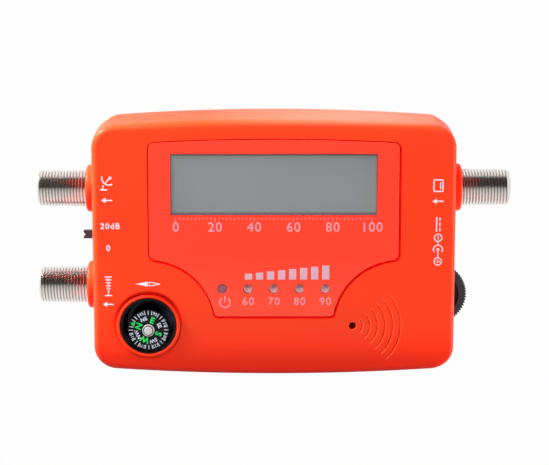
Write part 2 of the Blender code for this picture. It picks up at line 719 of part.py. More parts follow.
def case_holes():
    """Model everything that is cut from the case in one go."""
    parts = []
    for _, side, share in PORTS:
        hole = rod(PORT_COLLAR_RADIUS + GAP, 0.0, FLANGE_HEIGHT + CASE_WALL + 2 * OVERRUN)
        start = side * (CASE_LENGTH / 2 - CASE_WALL - OVERRUN)
        parts.append(placed(hole, start, share * CASE_WIDTH, PARTING_Z, side))
    for x, y in case_screw_places():
        seat = CASE_SCREW_RECESS + CASE_SCREW_HEAD_HEIGHT + GAP
        profile = [
            (CASE_SCREW_HEAD_RADIUS + GAP, -OVERRUN),
            (CASE_SCREW_HEAD_RADIUS + GAP, seat),
            (CASE_SCREW_RADIUS + GAP, seat),
            (CASE_SCREW_RADIUS + GAP, PARTING_Z + CASE_SCREW_RISE + GAP),
        ]
        parts.append(placed(turned(profile, SMALL_SIDES), x, y))
    for x, y in board_screw_places():
        depth = BOARD_SCREW_LENGTH - BOARD_THICKNESS
        pilot = rod(
            BOARD_SCREW_RADIUS + GAP, BOARD_BOTTOM - depth - GAP, BOARD_TOP, SMALL_SIDES
        )
        parts.append(placed(pilot, x, y))
    for x, y in lamp_places():
        hole = rod(LAMP_RADIUS + GAP, ROOF_Z - OVERRUN, CASE_DEPTH + OVERRUN, SMALL_SIDES)
        parts.append(placed(hole, x, y))
    well = rod(CAPSULE_RADIUS + GAP, well_floor(), CASE_DEPTH + OVERRUN, FINE_SIDES)
    parts.append(placed(well, COMPASS_X, COMPASS_Y))
    hole = rod(SOUND_HOLE_RADIUS, ROOF_Z - OVERRUN, CASE_DEPTH + OVERRUN, SMALL_SIDES)
    parts.append(placed(hole, SOUNDER_X, COMPASS_Y))
    size = (WINDOW_LENGTH, WINDOW_WIDTH, CASE_WALL + 2 * OVERRUN)
    parts.append(slab((0.0, WINDOW_Y), size, ROOF_Z - OVERRUN))
    parts.append(switch_slot())
    parts.append(wheel_slot())
    y, z = inlet_axis()
    hole = rod(INLET_COLLAR_RADIUS + GAP, 0.0, CASE_WALL + 2 * OVERRUN)
    parts.append(placed(hole, CASE_LENGTH / 2 - CASE_WALL - OVERRUN, y, z, 1))
    return [solid("hole", part) for part in parts]


def switch_slot():
    """Model the slot that the switch knob slides in."""
    y = SWITCH_SHARE * CASE_WIDTH
    room = SWITCH_KNOB_WIDTH / 2 + GAP
    return block(
        (-CASE_LENGTH / 2 - OVERRUN, y - SWITCH_TRAVEL - room, switch_knob_base() - GAP),
        (
            CASE_WALL + OVERRUN - CASE_LENGTH / 2,
            y + room,
            switch_knob_base() + SWITCH_KNOB_HEIGHT + GAP,
        ),
    )


def wheel_slot():
    """Model the slot that the gain wheel stands out of."""
    x, y = wheel_centre()
    inner_wall = CASE_LENGTH / 2 - CASE_WALL - CASE_DRAFT
    half = math.sqrt(WHEEL_RADIUS ** 2 - (inner_wall - x) ** 2) + WHEEL_SLOT_END_ROOM
    return block(
        (CASE_LENGTH / 2 - CASE_WALL - OVERRUN, y - half, wheel_base() - WHEEL_SLOT_ROOM),
        (
            CASE_LENGTH / 2 + OVERRUN,
            y + half,
            wheel_base() + WHEEL_THICKNESS + WHEEL_SLOT_ROOM,
        ),
    )


def make_case():
    """Model both halves of the case from one whole body."""
    whole = combine(case_body(), "DIFFERENCE", case_cavity())
    combine(whole, "UNION", *case_additions())
    combine(whole, "DIFFERENCE", *case_holes())
    combine(whole, "DIFFERENCE", solid("recess", case_recess()), solid("arcs", sound_arcs()))
    back = bpy.data.objects.new("back_shell", whole.data.copy())
    bpy.context.scene.collection.objects.link(back)
    spread = CASE_LENGTH + CASE_WIDTH
    lip = prism(case_outline(RIM_LIP_INSET), 0.0, PARTING_Z + RIM_LIP_HEIGHT)
    room = block((-spread, -spread, -OVERRUN), (spread, spread, PARTING_Z - GAP / 2))
    room = combine(solid("room", room), "UNION", solid("lip", lip))
    dress(combine(back, "INTERSECT", room), "case")

    front = bpy.data.objects.new("front_shell", whole.data.copy())
    bpy.context.scene.collection.objects.link(front)
    step = prism(case_outline(RIM_LIP_INSET - GAP), 0.0, PARTING_Z + RIM_LIP_HEIGHT + GAP)
    room = block((-spread, -spread, PARTING_Z + GAP / 2), (spread, spread, 2 * CASE_DEPTH))
    room = combine(solid("room", room), "DIFFERENCE", solid("step", step))
    dress(combine(front, "INTERSECT", room), "case")
    bpy.data.objects.remove(whole)


def screw(name, radius, length, head_radius, head_height, finish):
    """Model a screw whose head lies above the XY plane and whose shank hangs below it."""
    profile = [
        (0.0, -length),
        (radius, radius - length),
        (radius, 0.0),
        (head_radius, 0.0),
        (head_radius, head_height / 2),
        (head_radius * HEAD_CROWN_SHARE, head_height),
        (0.0, head_height),
    ]
    piece = solid(name, turned(profile, SMALL_SIDES))
    span = head_radius * CROSS_SPAN_SHARE / 2
    half = head_radius * CROSS_WIDTH_SHARE / 2
    quarter = [(span, -half), (span, half), (half, half)]
    outline = []
    for turn in range(4):
        cosine, sine = round(math.cos(turn * math.pi / 2)), round(math.sin(turn * math.pi / 2))
        outline += [(x * cosine - y * sine, x * sine + y * cosine) for x, y in quarter]
    depth = head_height * CROSS_DEPTH_SHARE
    cross = prism(outline, head_height - depth, head_height + OVERRUN)
    return dress(combine(piece, "DIFFERENCE", solid("cross", cross)), finish)


def make_case_screws():
    """Model the four screws that enter from the back."""
    seat = CASE_SCREW_RECESS + CASE_SCREW_HEAD_HEIGHT
    first = screw(
        "case_screw_1",
        CASE_SCREW_RADIUS,
        PARTING_Z + CASE_SCREW_RISE - seat,
        CASE_SCREW_HEAD_RADIUS,
        CASE_SCREW_HEAD_HEIGHT,
        "steel",
    )
    for index, (x, y) in enumerate(case_screw_places()):
        piece = first if index == 0 else copy_of(first, f"case_screw_{index + 1}")
        piece.location = (x, y, seat)
        piece.rotation_euler = (math.pi, 0.0, 0.0)


def make_board_screws():
    """Model the four screws that hold the main board on its posts."""
    first = screw(
        "board_screw_1",
        BOARD_SCREW_RADIUS,
        BOARD_SCREW_LENGTH,
        BOARD_SCREW_HEAD_RADIUS,
        BOARD_SCREW_HEAD_HEIGHT,
        "steel",
    )
    for index, (x, y) in enumerate(board_screw_places()):
        piece = first if index == 0 else copy_of(first, f"board_screw_{index + 1}")
        piece.location = (x, y, SEAT_Z)


def make_panel():
    """Model the thin overlay panel with its window and lamp holes."""
    low = CASE_DEPTH - PANEL_THICKNESS
    panel = solid("overlay_panel", prism(panel_outline(0.0), low, CASE_DEPTH))
    size = (WINDOW_LENGTH, WINDOW_WIDTH, PANEL_THICKNESS + 2 * OVERRUN)
    cuts = [slab((0.0, WINDOW_Y), size, low - OVERRUN)]
    for x, y in lamp_places():
        hole = rod(LAMP_PANEL_HOLE_RADIUS, low - OVERRUN, CASE_DEPTH + OVERRUN, SMALL_SIDES)
        cuts.append(placed(hole, x, y))
    dress(combine(panel, "DIFFERENCE", solid("cuts", merged(*cuts))), "panel")


def make_display():
    """Model the window pane, display glass, backlight, frame, board and its supports."""
    middle = (0.0, WINDOW_Y)
    pane_length = WINDOW_LENGTH - 2 * GAP
    pane_width = WINDOW_WIDTH - 2 * GAP
    pane_low = CASE_DEPTH - WINDOW_PANE_DROP - WINDOW_PANE
    glass_top = pane_low - GAP
    frame_top = ROOF_Z - GAP
    frame_low = frame_top - DISPLAY_FRAME_DEPTH
    glass_low = glass_top - DISPLAY_GLASS
    size = (pane_length, pane_width, WINDOW_PANE)
    dress(solid("window_pane", slab(middle, size, pane_low)), "clear")
    size = (pane_length, pane_width, DISPLAY_GLASS)
    dress(solid("display_glass", slab(middle, size, glass_low)), "display")

    size = (DISPLAY_FRAME_LENGTH, DISPLAY_FRAME_WIDTH, DISPLAY_FRAME_DEPTH)
    frame = solid("display_frame", slab(middle, size, frame_low))
    cell_length = DISPLAY_FRAME_LENGTH - 2 * DISPLAY_FRAME_WALL
    cell_width = DISPLAY_FRAME_WIDTH - 2 * DISPLAY_FRAME_WALL
    cell_depth = DISPLAY_FRAME_DEPTH - DISPLAY_FRAME_LIP
    cell = slab(middle, (cell_length, cell_width, cell_depth + OVERRUN), frame_low - OVERRUN)
    window = slab(middle, (WINDOW_LENGTH, WINDOW_WIDTH, 2 * OVERRUN), frame_top - OVERRUN)
    dress(combine(frame, "DIFFERENCE", solid("cell", cell), solid("window", window)), "steel")

    backlight_top = min(frame_low + cell_depth, glass_low) - GAP
    size = (cell_length - 2 * GAP, cell_width - 2 * GAP, backlight_top - frame_low)
    dress(solid("display_backlight", slab(middle, size, frame_low)), "white")
    size = (DISPLAY_BOARD_LENGTH, DISPLAY_BOARD_WIDTH, DISPLAY_BOARD_THICKNESS)
    dress(solid("display_board", slab(middle, size, DISPLAY_BOARD_BOTTOM)), "board")

    rise = DISPLAY_BOARD_BOTTOM - GAP - SEAT_Z
    header_y = WINDOW_Y + DISPLAY_BOARD_WIDTH / 2 - DISPLAY_EDGE_INSET
    header_length = 2 * (BOARD_SCREW_X - BOARD_SCREW_HEAD_RADIUS - HEADER_SCREW_ROOM)
    size = (header_length, HEADER_WIDTH, rise)
    dress(solid("display_header", slab((0.0, header_y), size, SEAT_Z)), "black")
    for index, x in enumerate((-STANDOFF_X, STANDOFF_X)):
        post = solid(f"display_standoff_{index + 1}", rod(STANDOFF_RADIUS, 0.0, rise, SMALL_SIDES))
        post.location = (x, STANDOFF_Y, SEAT_Z)
        dress(post, "white")


def make_lamps():
    """Model the lamp row on its spacer."""
    top = CASE_DEPTH - PANEL_THICKNESS - GAP
    base = top - LAMP_HEIGHT
    shoulder = LAMP_HEIGHT - LAMP_RADIUS
    profile = [
        (LAMP_FLANGE_RADIUS, 0.0),
        (LAMP_FLANGE_RADIUS, LAMP_FLANGE_HEIGHT),
        (LAMP_RADIUS, LAMP_FLANGE_HEIGHT),
    ]
    for step in range(LENS_STEPS + 1):
        angle = math.pi / 2 * step / LENS_STEPS
        reach = 0.0 if step == LENS_STEPS else LAMP_RADIUS * math.cos(angle)
        profile.append((reach, shoulder + LAMP_RADIUS * math.sin(angle)))
    for name, (x, y) in zip(LAMP_NAMES, lamp_places()):
        lamp = solid(name, turned(profile, SMALL_SIDES))
        lamp.location = (x, y, base)
        dress(lamp, "lens_dark" if name == "power_lamp" else "lens")
    size = (LAMP_SPACER_LENGTH, LAMP_SPACER_WIDTH, base - GAP - SEAT_Z)
    dress(solid("lamp_spacer", slab((0.0, LAMP_ROW_Y), size, SEAT_Z)), "black")


def make_compass():
    """Model the compass capsule, and its card, which turns on the pivot."""
    inner = CAPSULE_RADIUS - CAPSULE_WALL
    floor = well_floor() + GAP
    rim = CASE_DEPTH - DOME_SKIRT
    profile = [
        (0.0, floor),
        (CAPSULE_RADIUS, floor),
        (CAPSULE_RADIUS, rim - GAP),
        (inner, rim - GAP),
        (inner, floor + CAPSULE_FLOOR),
        (0.0, floor + CAPSULE_FLOOR),
    ]
    bowl = solid("compass_bowl", turned(profile, FINE_SIDES))
    bowl.location = (COMPASS_X, COMPASS_Y, 0.0)
    dress(bowl, "black")

    # The dome is a shell: out over the crown, back under it
    profile = []
    for radius, rise in ((CAPSULE_RADIUS, DOME_RISE), (inner, DOME_RISE - CAPSULE_WALL)):
        ball = (radius ** 2 + rise ** 2) / (2 * rise)
        spread = math.asin(radius / ball)
        side = [(radius, rim)]
        for step in range(DOME_STEPS + 1):
            angle = spread * (1 - step / DOME_STEPS)
            height = rim + DOME_SKIRT + rise - ball * (1 - math.cos(angle))
            side.append((ball * math.sin(angle), height))
        profile.append(side)
    dome = solid("compass_dome", turned(profile[0] + profile[1][::-1], FINE_SIDES, closed=True))
    dome.location = (COMPASS_X, COMPASS_Y, 0.0)
    dress(dome, "clear")

    pivot_y = COMPASS_Y - PIVOT_SETBACK
    card_low = rim + CARD_RIDE - CARD_THICKNESS / 2
    card_top = card_low + CARD_THICKNESS
    tip = card_top + GAP
    foot = floor + CAPSULE_FLOOR + GAP
    profile = [
        (0.0, foot),
        (PIVOT_FOOT_RADIUS, foot),
        (PIVOT_FOOT_RADIUS, foot + PIVOT_FOOT_HEIGHT),
        (PIVOT_RADIUS, foot + PIVOT_FOOT_HEIGHT),
        (PIVOT_RADIUS, tip - PIVOT_POINT),
        (0.0, tip),
    ]
    pivot = solid("compass_pivot", turned(profile, SMALL_SIDES))
    pivot.location = (COMPASS_X, pivot_y, 0.0)
    dress(pivot, "brass")

    axis = bpy.data.objects.new("card_axis", None)
    axis.location = (COMPASS_X, pivot_y, card_low)
    bpy.context.scene.collection.objects.link(axis)
    profile = [
        (CARD_HOLE_RADIUS, 0.0),
        (CARD_RADIUS, 0.0),
        (CARD_RADIUS, CARD_THICKNESS),
        (CARD_HOLE_RADIUS, CARD_THICKNESS),
    ]
    card = solid("compass_card", turned(profile, FINE_SIDES, closed=True))
    dress(card, "card")
    hub_base = CARD_THICKNESS + GAP
    profile = [
        (0.0, hub_base + HUB_JEWEL_RADIUS),
        (HUB_JEWEL_RADIUS, hub_base),
        (HUB_RADIUS, hub_base),
        (HUB_RADIUS, hub_base + HUB_BRIM),
        (HUB_CAP_RADIUS, hub_base + HUB_BRIM),
        (HUB_CAP_RADIUS, hub_base + (HUB_BRIM + HUB_HEIGHT) / 2),
        (HUB_CAP_RADIUS / 2, hub_base + HUB_HEIGHT),
        (0.0, hub_base + HUB_HEIGHT),
    ]
    hub = solid("card_hub", turned(profile, ROUND_SIDES))
    dress(hub, "hub")
    magnet_top = -GAP
    profile = [
        (MAGNET_HOLE_RADIUS, magnet_top - MAGNET_THICKNESS),
        (MAGNET_RADIUS, magnet_top - MAGNET_THICKNESS),
        (MAGNET_RADIUS, magnet_top),
        (MAGNET_HOLE_RADIUS, magnet_top),
    ]
    magnet = solid("card_magnet", turned(profile, ROUND_SIDES, closed=True))
    dress(magnet, "steel")
    for piece in (card, hub, magnet):
        piece.parent = axis


def make_sounder():
    """Model the sounder and the foam ring between it and the face."""
    top = GASKET_BOTTOM - GAP - SEAT_Z
    profile = [
        (0.0, 0.0),
        (SOUNDER_RADIUS, 0.0),
        (SOUNDER_RADIUS, top - SOUNDER_EDGE),
        (SOUNDER_RADIUS - SOUNDER_EDGE, top),
        (SOUNDER_MOUTH_RADIUS, top),
        (SOUNDER_MOUTH_RADIUS, top - SOUNDER_MOUTH_DEPTH),
        (0.0, top - SOUNDER_MOUTH_DEPTH),
    ]
    sounder = solid("sounder", turned(profile, ROUND_SIDES))
    sounder.location = (SOUNDER_X, COMPASS_Y, SEAT_Z)
    dress(sounder, "black")
    profile = [
        (GASKET_BORE_RADIUS, GASKET_BOTTOM),
        (SOUNDER_RADIUS - SOUNDER_EDGE, GASKET_BOTTOM),
        (SOUNDER_RADIUS - SOUNDER_EDGE, ROOF_Z - GAP),
        (GASKET_BORE_RADIUS, ROOF_Z - GAP),
    ]
    gasket = solid("sound_gasket", turned(profile, ROUND_SIDES, closed=True))
    gasket.location = (SOUNDER_X, COMPASS_Y, 0.0)
    dress(gasket, "foam")


def port_thread():
    """Model a solid rod with a helical thread, longer than the port's threaded part."""
    pitch = PORT_THREAD_PITCH
    root_radius = PORT_THREAD_RADIUS - PORT_THREAD_DEPTH_SHARE * pitch
    turns = math.ceil((PORT_REACH + 2 * OVERRUN) / pitch)
    bm = bmesh.new()

    def helix(radius, lead):
        points = []
        for step in range(turns * PORT_THREAD_SIDES + 1):
            angle = 2 * math.pi * step / PORT_THREAD_SIDES
            height = pitch * step / PORT_THREAD_SIDES + lead - OVERRUN
            points.append(
                bm.verts.new((radius * math.cos(angle), radius * math.sin(angle), height))
            )
        return points

    crest = helix(PORT_THREAD_RADIUS, 0.0)
    valley = helix(root_radius, pitch / 2)
    last = len(crest) - 1
    for step in range(last):
        bm.faces.new((crest[step], crest[step + 1], valley[step + 1], valley[step]))
        above = step + PORT_THREAD_SIDES
        if above < last:
            bm.faces.new((valley[step], valley[step + 1], crest[above + 1], crest[above]))
    low = bm.verts.new((0, 0, crest[0].co.z))
    high = bm.verts.new((0, 0, valley[-1].co.z))
    lower_edge = crest[: PORT_THREAD_SIDES + 1] + [valley[0]]
    upper_edge = valley[last - PORT_THREAD_SIDES:] + [crest[-1]]
    for edge, tip in ((lower_edge, low), (upper_edge, high)):
        for index, vert in enumerate(edge):
            bm.faces.new((vert, edge[(index + 1) % len(edge)], tip))
    return solid("thread", bm)


def port_body():
    """Model a port's metal body along its own Z axis, from the flange's face."""
    room = PORT_THREAD_RADIUS + OVERRUN
    tip_radius = PORT_THREAD_RADIUS - PORT_CHAMFER
    slope = PORT_CHAMFER + OVERRUN
    profile = [
        (room, -PORT_COLLAR_INSET - GAP),
        (room, PORT_REACH - slope),
        (tip_radius, PORT_REACH),
    ]
    body = combine(port_thread(), "INTERSECT", solid("room", turned(profile, ROUND_SIDES)))
    block_top = -FLANGE_HEIGHT - CASE_WALL - GAP
    collar = rod(PORT_COLLAR_RADIUS, block_top - PORT_BLOCK_DEPTH / 2, -PORT_COLLAR_INSET)
    half = PORT_BLOCK_WIDTH / 2
    base = block((-half, -half, block_top - PORT_BLOCK_DEPTH), (half, half, block_top))
    combine(body, "UNION", solid("collar", collar), solid("base", base))
    bore = rod(PORT_BORE_RADIUS, block_top - PORT_BLOCK_DEPTH - OVERRUN, PORT_REACH + OVERRUN)
    return combine(body, "DIFFERENCE", solid("bore", bore))


def port_insulator():
    """Model the plastic sleeve that holds a port's contact."""
    low = GAP - FLANGE_HEIGHT - CASE_WALL - GAP - PORT_BLOCK_DEPTH
    high = PORT_REACH - INSULATOR_RECESS
    inner = CONTACT_RADIUS + GAP
    outer = PORT_BORE_RADIUS - GAP
    profile = [(inner, low), (outer, low), (outer, high), (inner, high)]
    return solid("insulator", turned(profile, ROUND_SIDES, closed=True))


def port_contact():
    """Model a port's spring contact, bored at its outer end, with its solder tail."""
    low = -FLANGE_HEIGHT - CASE_WALL - GAP - PORT_BLOCK_DEPTH - CONTACT_TAIL
    high = PORT_REACH - CONTACT_RECESS
    profile = [
        (0.0, low),
        (CONTACT_RADIUS, low),
        (CONTACT_RADIUS, high),
        (CONTACT_BORE_RADIUS, high),
        (CONTACT_BORE_RADIUS, high - CONTACT_BORE_DEPTH),
        (0.0, high - CONTACT_BORE_DEPTH),
    ]
    return solid("contact", turned(profile, SMALL_SIDES))


def make_ports():
    """Model the three coaxial ports, which are all alike."""
    patterns = (
        ("body", port_body(), "nickel"),
        ("insulator", port_insulator(), "white"),
        ("contact", port_contact(), "brass"),
    )
    for kind, pattern, finish in patterns:
        dress(pattern, finish)
        for name, side, share in PORTS:
            piece = copy_of(pattern, f"{name}_{kind}")
            piece.location = (side * FLANGE_FACE_X, share * CASE_WIDTH, PARTING_Z)
            piece.rotation_euler = side_turn(side)
        bpy.data.objects.remove(pattern)


def make_switch():
    """Model the attenuator switch and its sliding knob."""
    y = SWITCH_SHARE * CASE_WIDTH
    wall_x = CASE_WALL - CASE_LENGTH / 2 + CASE_DRAFT + GAP
    middle_y = y - SWITCH_TRAVEL / 2
    low = (wall_x, middle_y - SWITCH_BODY_LENGTH / 2, SEAT_Z)
    high = (
        wall_x + SWITCH_BODY_DEPTH,
        middle_y + SWITCH_BODY_LENGTH / 2,
        SEAT_Z + SWITCH_BODY_HEIGHT,
    )
    body = solid("switch_body", block(low, high))
    base = switch_knob_base()
    top = base + SWITCH_KNOB_HEIGHT
    half = SWITCH_KNOB_WIDTH / 2
    root_x = wall_x + SWITCH_KNOB_ROOT
    channel = block(
        (wall_x - OVERRUN, y - SWITCH_TRAVEL - half - GAP, base - GAP),
        (root_x + GAP, y + half + GAP, top + GAP),
    )
    dress(combine(body, "DIFFERENCE", solid("channel", channel)), "steel")

    # The knob's tip has a V-notch for a fingernail
    tip = -CASE_LENGTH / 2 - SWITCH_KNOB_REACH - root_x
    outline = [(0.0, -half), (0.0, half), (tip, half), (tip + SWITCH_NOTCH, 0.0), (tip, -half)]
    knob = solid("switch_knob", prism(outline, 0.0, SWITCH_KNOB_HEIGHT))
    knob.location = (root_x, y, base)
    dress(knob, "black")


def make_wheel():
    """Model the gain wheel on its potentiometer."""
    x, y = wheel_centre()
    rim = WHEEL_RADIUS - WHEEL_RIM
    web = WHEEL_THICKNESS - WHEEL_WEB_DROP
    profile = [
        (WHEEL_BORE_RADIUS, 0.0),
        (WHEEL_RADIUS, 0.0),
        (WHEEL_RADIUS, WHEEL_THICKNESS),
        (rim, WHEEL_THICKNESS),
        (rim, web),
        (WHEEL_BORE_RADIUS, web),
    ]

    def toothed(radius, side):
        return radius - WHEEL_TOOTH_DEPTH if side % 2 and radius == WHEEL_RADIUS else radius

    wheel = solid("gain_wheel", turned(profile, 2 * WHEEL_TEETH, closed=True, shape=toothed))
    wheel.location = (x, y, wheel_base())
    dress(wheel, "wheel")

    wall_x = CASE_LENGTH / 2 - CASE_WALL - CASE_DRAFT - GAP
    base = solid(
        "pot_base",
        block(
            (wall_x - POT_LENGTH, y - POT_WIDTH / 2, SEAT_Z),
            (wall_x, y + POT_WIDTH / 2, SEAT_Z + POT_HEIGHT),
        ),
    )
    post_radius = WHEEL_BORE_RADIUS - WHEEL_TURN_ROOM
    rivet_z = wheel_base() + WHEEL_THICKNESS + GAP
    post = placed(rod(post_radius, SEAT_Z + POT_HEIGHT / 2, rivet_z - GAP, SMALL_SIDES), x, y)
    dress(combine(base, "UNION", solid("post", post)), "phenolic")
    rivet = solid("pot_rivet", rod(RIVET_RADIUS, 0.0, RIVET_HEIGHT, SMALL_SIDES))
    rivet.location = (x, y, rivet_z)
    dress(rivet, "brass")


def make_inlet():
    """Model the power inlet and its centre pin."""
    y, z = inlet_axis()
    wall_x = CASE_LENGTH / 2 - CASE_WALL - CASE_DRAFT - GAP
    body = solid(
        "power_inlet",
        block(
            (wall_x - INLET_LENGTH, y - INLET_WIDTH / 2, SEAT_Z),
            (wall_x, y + INLET_WIDTH / 2, SEAT_Z + INLET_HEIGHT),
        ),
    )
    mouth_x = CASE_LENGTH / 2 - INLET_COLLAR_RECESS
    root_x = wall_x - INLET_LENGTH / 2
    collar = rod(INLET_COLLAR_RADIUS, 0.0, mouth_x - root_x)
    combine(body, "UNION", solid("collar", placed(collar, root_x, y, z, 1)))
    bore = rod(INLET_BORE_RADIUS, -INLET_BORE_DEPTH, OVERRUN)
    combine(body, "DIFFERENCE", solid("bore", placed(bore, mouth_x, y, z, 1)))
    dress(body, "black")
    length = INLET_BORE_DEPTH - GAP - INLET_PIN_RECESS
    profile = [
        (INLET_PIN_RADIUS, 0.0),
        (INLET_PIN_RADIUS, length - INLET_PIN_RADIUS / 2),
        (INLET_PIN_RADIUS / 2, length),
    ]
    pin = solid("power_inlet_pin", turned(profile, SMALL_SIDES))
    pin.location = (mouth_x - INLET_BORE_DEPTH + GAP, y, z)
    pin.rotation_euler = side_turn(1)
    dress(pin, "nickel")


def make_board():
    """Model the main board, with its notches and screw holes."""
    board = solid(
        "main_board", slab((0.0, 0.0), (BOARD_LENGTH, BOARD_WIDTH, BOARD_THICKNESS), BOARD_BOTTOM)
    )
    cuts = []
    low, high = BOARD_BOTTOM - OVERRUN, BOARD_TOP + OVERRUN
    for _, side, share in PORTS:
        depth = BOARD_LENGTH / 2 - PORT_BLOCK_INNER_X + GAP
        size = (2 * depth, PORT_BLOCK_WIDTH + 2 * GAP, high - low)
        cuts.append(slab((side * BOARD_LENGTH / 2, share * CASE_WIDTH), size, low))
    for x, y in case_screw_places():
        notch = 2 * (CASE_BOSS_RADIUS + GAP + OVERRUN)
        centre = (x + math.copysign(OVERRUN, x), y + math.copysign(OVERRUN, y))
        cuts.append(slab(centre, (notch, notch, high - low), low))
    for x, y in board_screw_places():
        cuts.append(placed(rod(BOARD_SCREW_RADIUS + GAP, low, high, SMALL_SIDES), x, y))
    dress(combine(board, "DIFFERENCE", *[solid("cut", cut) for cut in cuts]), "board")


def make_board_parts():
    """Model the larger parts that are soldered to the board."""
    centre = (
        TUNER_PORT_ROOM + TUNER_LENGTH / 2 - PORT_BLOCK_INNER_X,
        TUNER_PLACE_SHARE * BOARD_WIDTH,
    )
    size = (TUNER_LENGTH, TUNER_WIDTH, TUNER_HEIGHT)
    tuner = slab(centre, size, BOARD_BOTTOM - GAP - TUNER_HEIGHT, TUNER_EDGE)
    dress(solid("tuner_can", tuner), "steel")
    chips = (
        (
            "microcontroller",
            CONTROLLER_PLACE_SHARES,
            CONTROLLER_SIZE,
            CONTROLLER_SIZE,
            CONTROLLER_HEIGHT,
            "chip",
        ),
        (
            "voltage_regulator",
            REGULATOR_PLACE_SHARES,
            REGULATOR_LENGTH,
            REGULATOR_WIDTH,
            REGULATOR_HEIGHT,
            "chip",
        ),
        ("crystal", CRYSTAL_PLACE_SHARES, CRYSTAL_LENGTH, CRYSTAL_WIDTH, CRYSTAL_HEIGHT, "nickel"),
    )
    for name, place, length, width, height, finish in chips:
        centre = (place[0] * BOARD_LENGTH, place[1] * BOARD_WIDTH)
        dress(solid(name, slab(centre, (length, width, height), SEAT_Z, CHIP_EDGE)), finish)
    profile = [
        (CAPACITOR_RADIUS, 0.0),
        (CAPACITOR_RADIUS, CAPACITOR_HEIGHT - CAPACITOR_EDGE),
        (CAPACITOR_RADIUS - CAPACITOR_EDGE, CAPACITOR_HEIGHT),
    ]
    places = (
        (
            INLET_INNER_X - CAPACITOR_INLET_ROOM - CAPACITOR_RADIUS,
            STANDOFF_Y - STANDOFF_RADIUS - CAPACITOR_STANDOFF_ROOM - CAPACITOR_RADIUS,
        ),
        (
            LAMP_SPACER_LENGTH / 2 + CAPACITOR_SPACER_ROOM + CAPACITOR_RADIUS,
            LAMP_ROW_Y + CAPACITOR_ROW_RISE,
        ),
    )
    for index, (x, y) in enumerate(places):
        can = solid(f"capacitor_{index + 1}", turned(profile, SMALL_SIDES))
        can.location = (x, y, SEAT_Z)
        dress(can, "steel")


def main():
    """Clear the scene and model the meter."""
    for old in list(bpy.data.objects):
        bpy.data.objects.remove(old)
    make_case()
    make_case_screws()
    make_panel()
    make_display()
    make_lamps()
    make_compass()
    make_sounder()
    make_ports()
    make_switch()
    make_wheel()
    make_inlet()
    make_board()
    make_board_screws()
    make_board_parts()


main()
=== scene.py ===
"""Looks of a handheld satellite signal meter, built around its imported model."""

import math

import bmesh
import bpy
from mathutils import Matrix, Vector


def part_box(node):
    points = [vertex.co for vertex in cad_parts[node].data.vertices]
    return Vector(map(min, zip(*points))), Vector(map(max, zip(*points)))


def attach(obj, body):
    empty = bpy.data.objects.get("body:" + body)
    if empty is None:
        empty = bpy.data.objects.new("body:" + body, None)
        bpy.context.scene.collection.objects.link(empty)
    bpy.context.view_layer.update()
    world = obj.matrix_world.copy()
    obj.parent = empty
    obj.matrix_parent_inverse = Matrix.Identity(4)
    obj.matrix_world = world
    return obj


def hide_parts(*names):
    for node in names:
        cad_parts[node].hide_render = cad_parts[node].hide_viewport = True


bl_info = {
    "name": "Satellite signal meter",
    "version": (1, 0, 0),
    "blender": (4, 5, 0),
    "location": "View3D > Sidebar > Meter",
    "description": "Builds the meter's case, panel, ports, compass, controls and studio",
    "category": "Object",
}

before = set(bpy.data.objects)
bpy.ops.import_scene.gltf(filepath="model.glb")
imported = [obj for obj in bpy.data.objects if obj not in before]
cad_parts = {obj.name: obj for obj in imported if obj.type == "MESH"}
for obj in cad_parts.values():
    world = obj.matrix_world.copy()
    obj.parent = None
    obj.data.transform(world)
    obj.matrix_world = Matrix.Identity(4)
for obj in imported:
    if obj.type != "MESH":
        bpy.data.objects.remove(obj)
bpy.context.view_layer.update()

MM = 0.001
CASE = "case"
KNOB = "attenuator_knob"
DIAL = "gain_dial"
CARD = "card"


# Places that come from the frame

def low(node):
    """Give a node's lowest corner."""
    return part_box(node)[0]


def high(node):
    """Give a node's highest corner."""
    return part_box(node)[1]


def middle(node):
    """Give the middle of a node's box."""
    lowest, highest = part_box(node)
    return (lowest + highest) / 2


PORTS = (("satellite_port", -1), ("antenna_port", -1), ("receiver_port", 1))
SIGNAL_LAMPS = tuple(f"signal_lamp_{number}" for number in (1, 2, 3, 4))
LAMPS = ("power_lamp", *SIGNAL_LAMPS)
CASE_SCREWS = tuple(f"case_screw_{number}" for number in (1, 2, 3, 4))
CASE_DEPTH = high("overlay_panel").z
CASE_WIDTH = 2 * high("front_shell").y
PARTING = middle("satellite_port_body").z
COMPASS = middle("compass_dome")
CARD_AXIS = middle("compass_card")
WHEEL = middle("gain_wheel")
INLET = middle("power_inlet_pin")
SOUNDER = middle("sounder")
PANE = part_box("window_pane")

# How far the window's hole reaches past its pane, where the rings round the ports end, and how
# high the print begins
PANE_GAP = Vector((0.33, 0.47, 0.0)) * MM
FLANGE_FACE = 48.75 * MM
PRINT_LEVEL = CASE_DEPTH + 0.001 * MM

# In picking faces: slack in their height, and how far a level face's normal points up or down
SLACK = 0.01 * MM
LEVEL = 0.9

# How near two points are one, in a cut and in a merge of doubles
CUT_REACH = 0.0001 * MM
MERGE_REACH = 0.001 * MM

# A small turn that keeps the edges of two round bodies from meeting, in radians
FIRST_TURN = 0.013


# Sizes and colours that a user would change

def length(label, value, text):
    """Declare a size in millimetres."""
    return bpy.props.FloatProperty(
        name=label, description=text, default=value * MM, unit="LENGTH", subtype="DISTANCE"
    )


def tint(label, value, text):
    """Declare a colour."""
    return bpy.props.FloatVectorProperty(
        name=label, description=text, default=value, size=3, min=0.0, max=1.0, subtype="COLOR"
    )


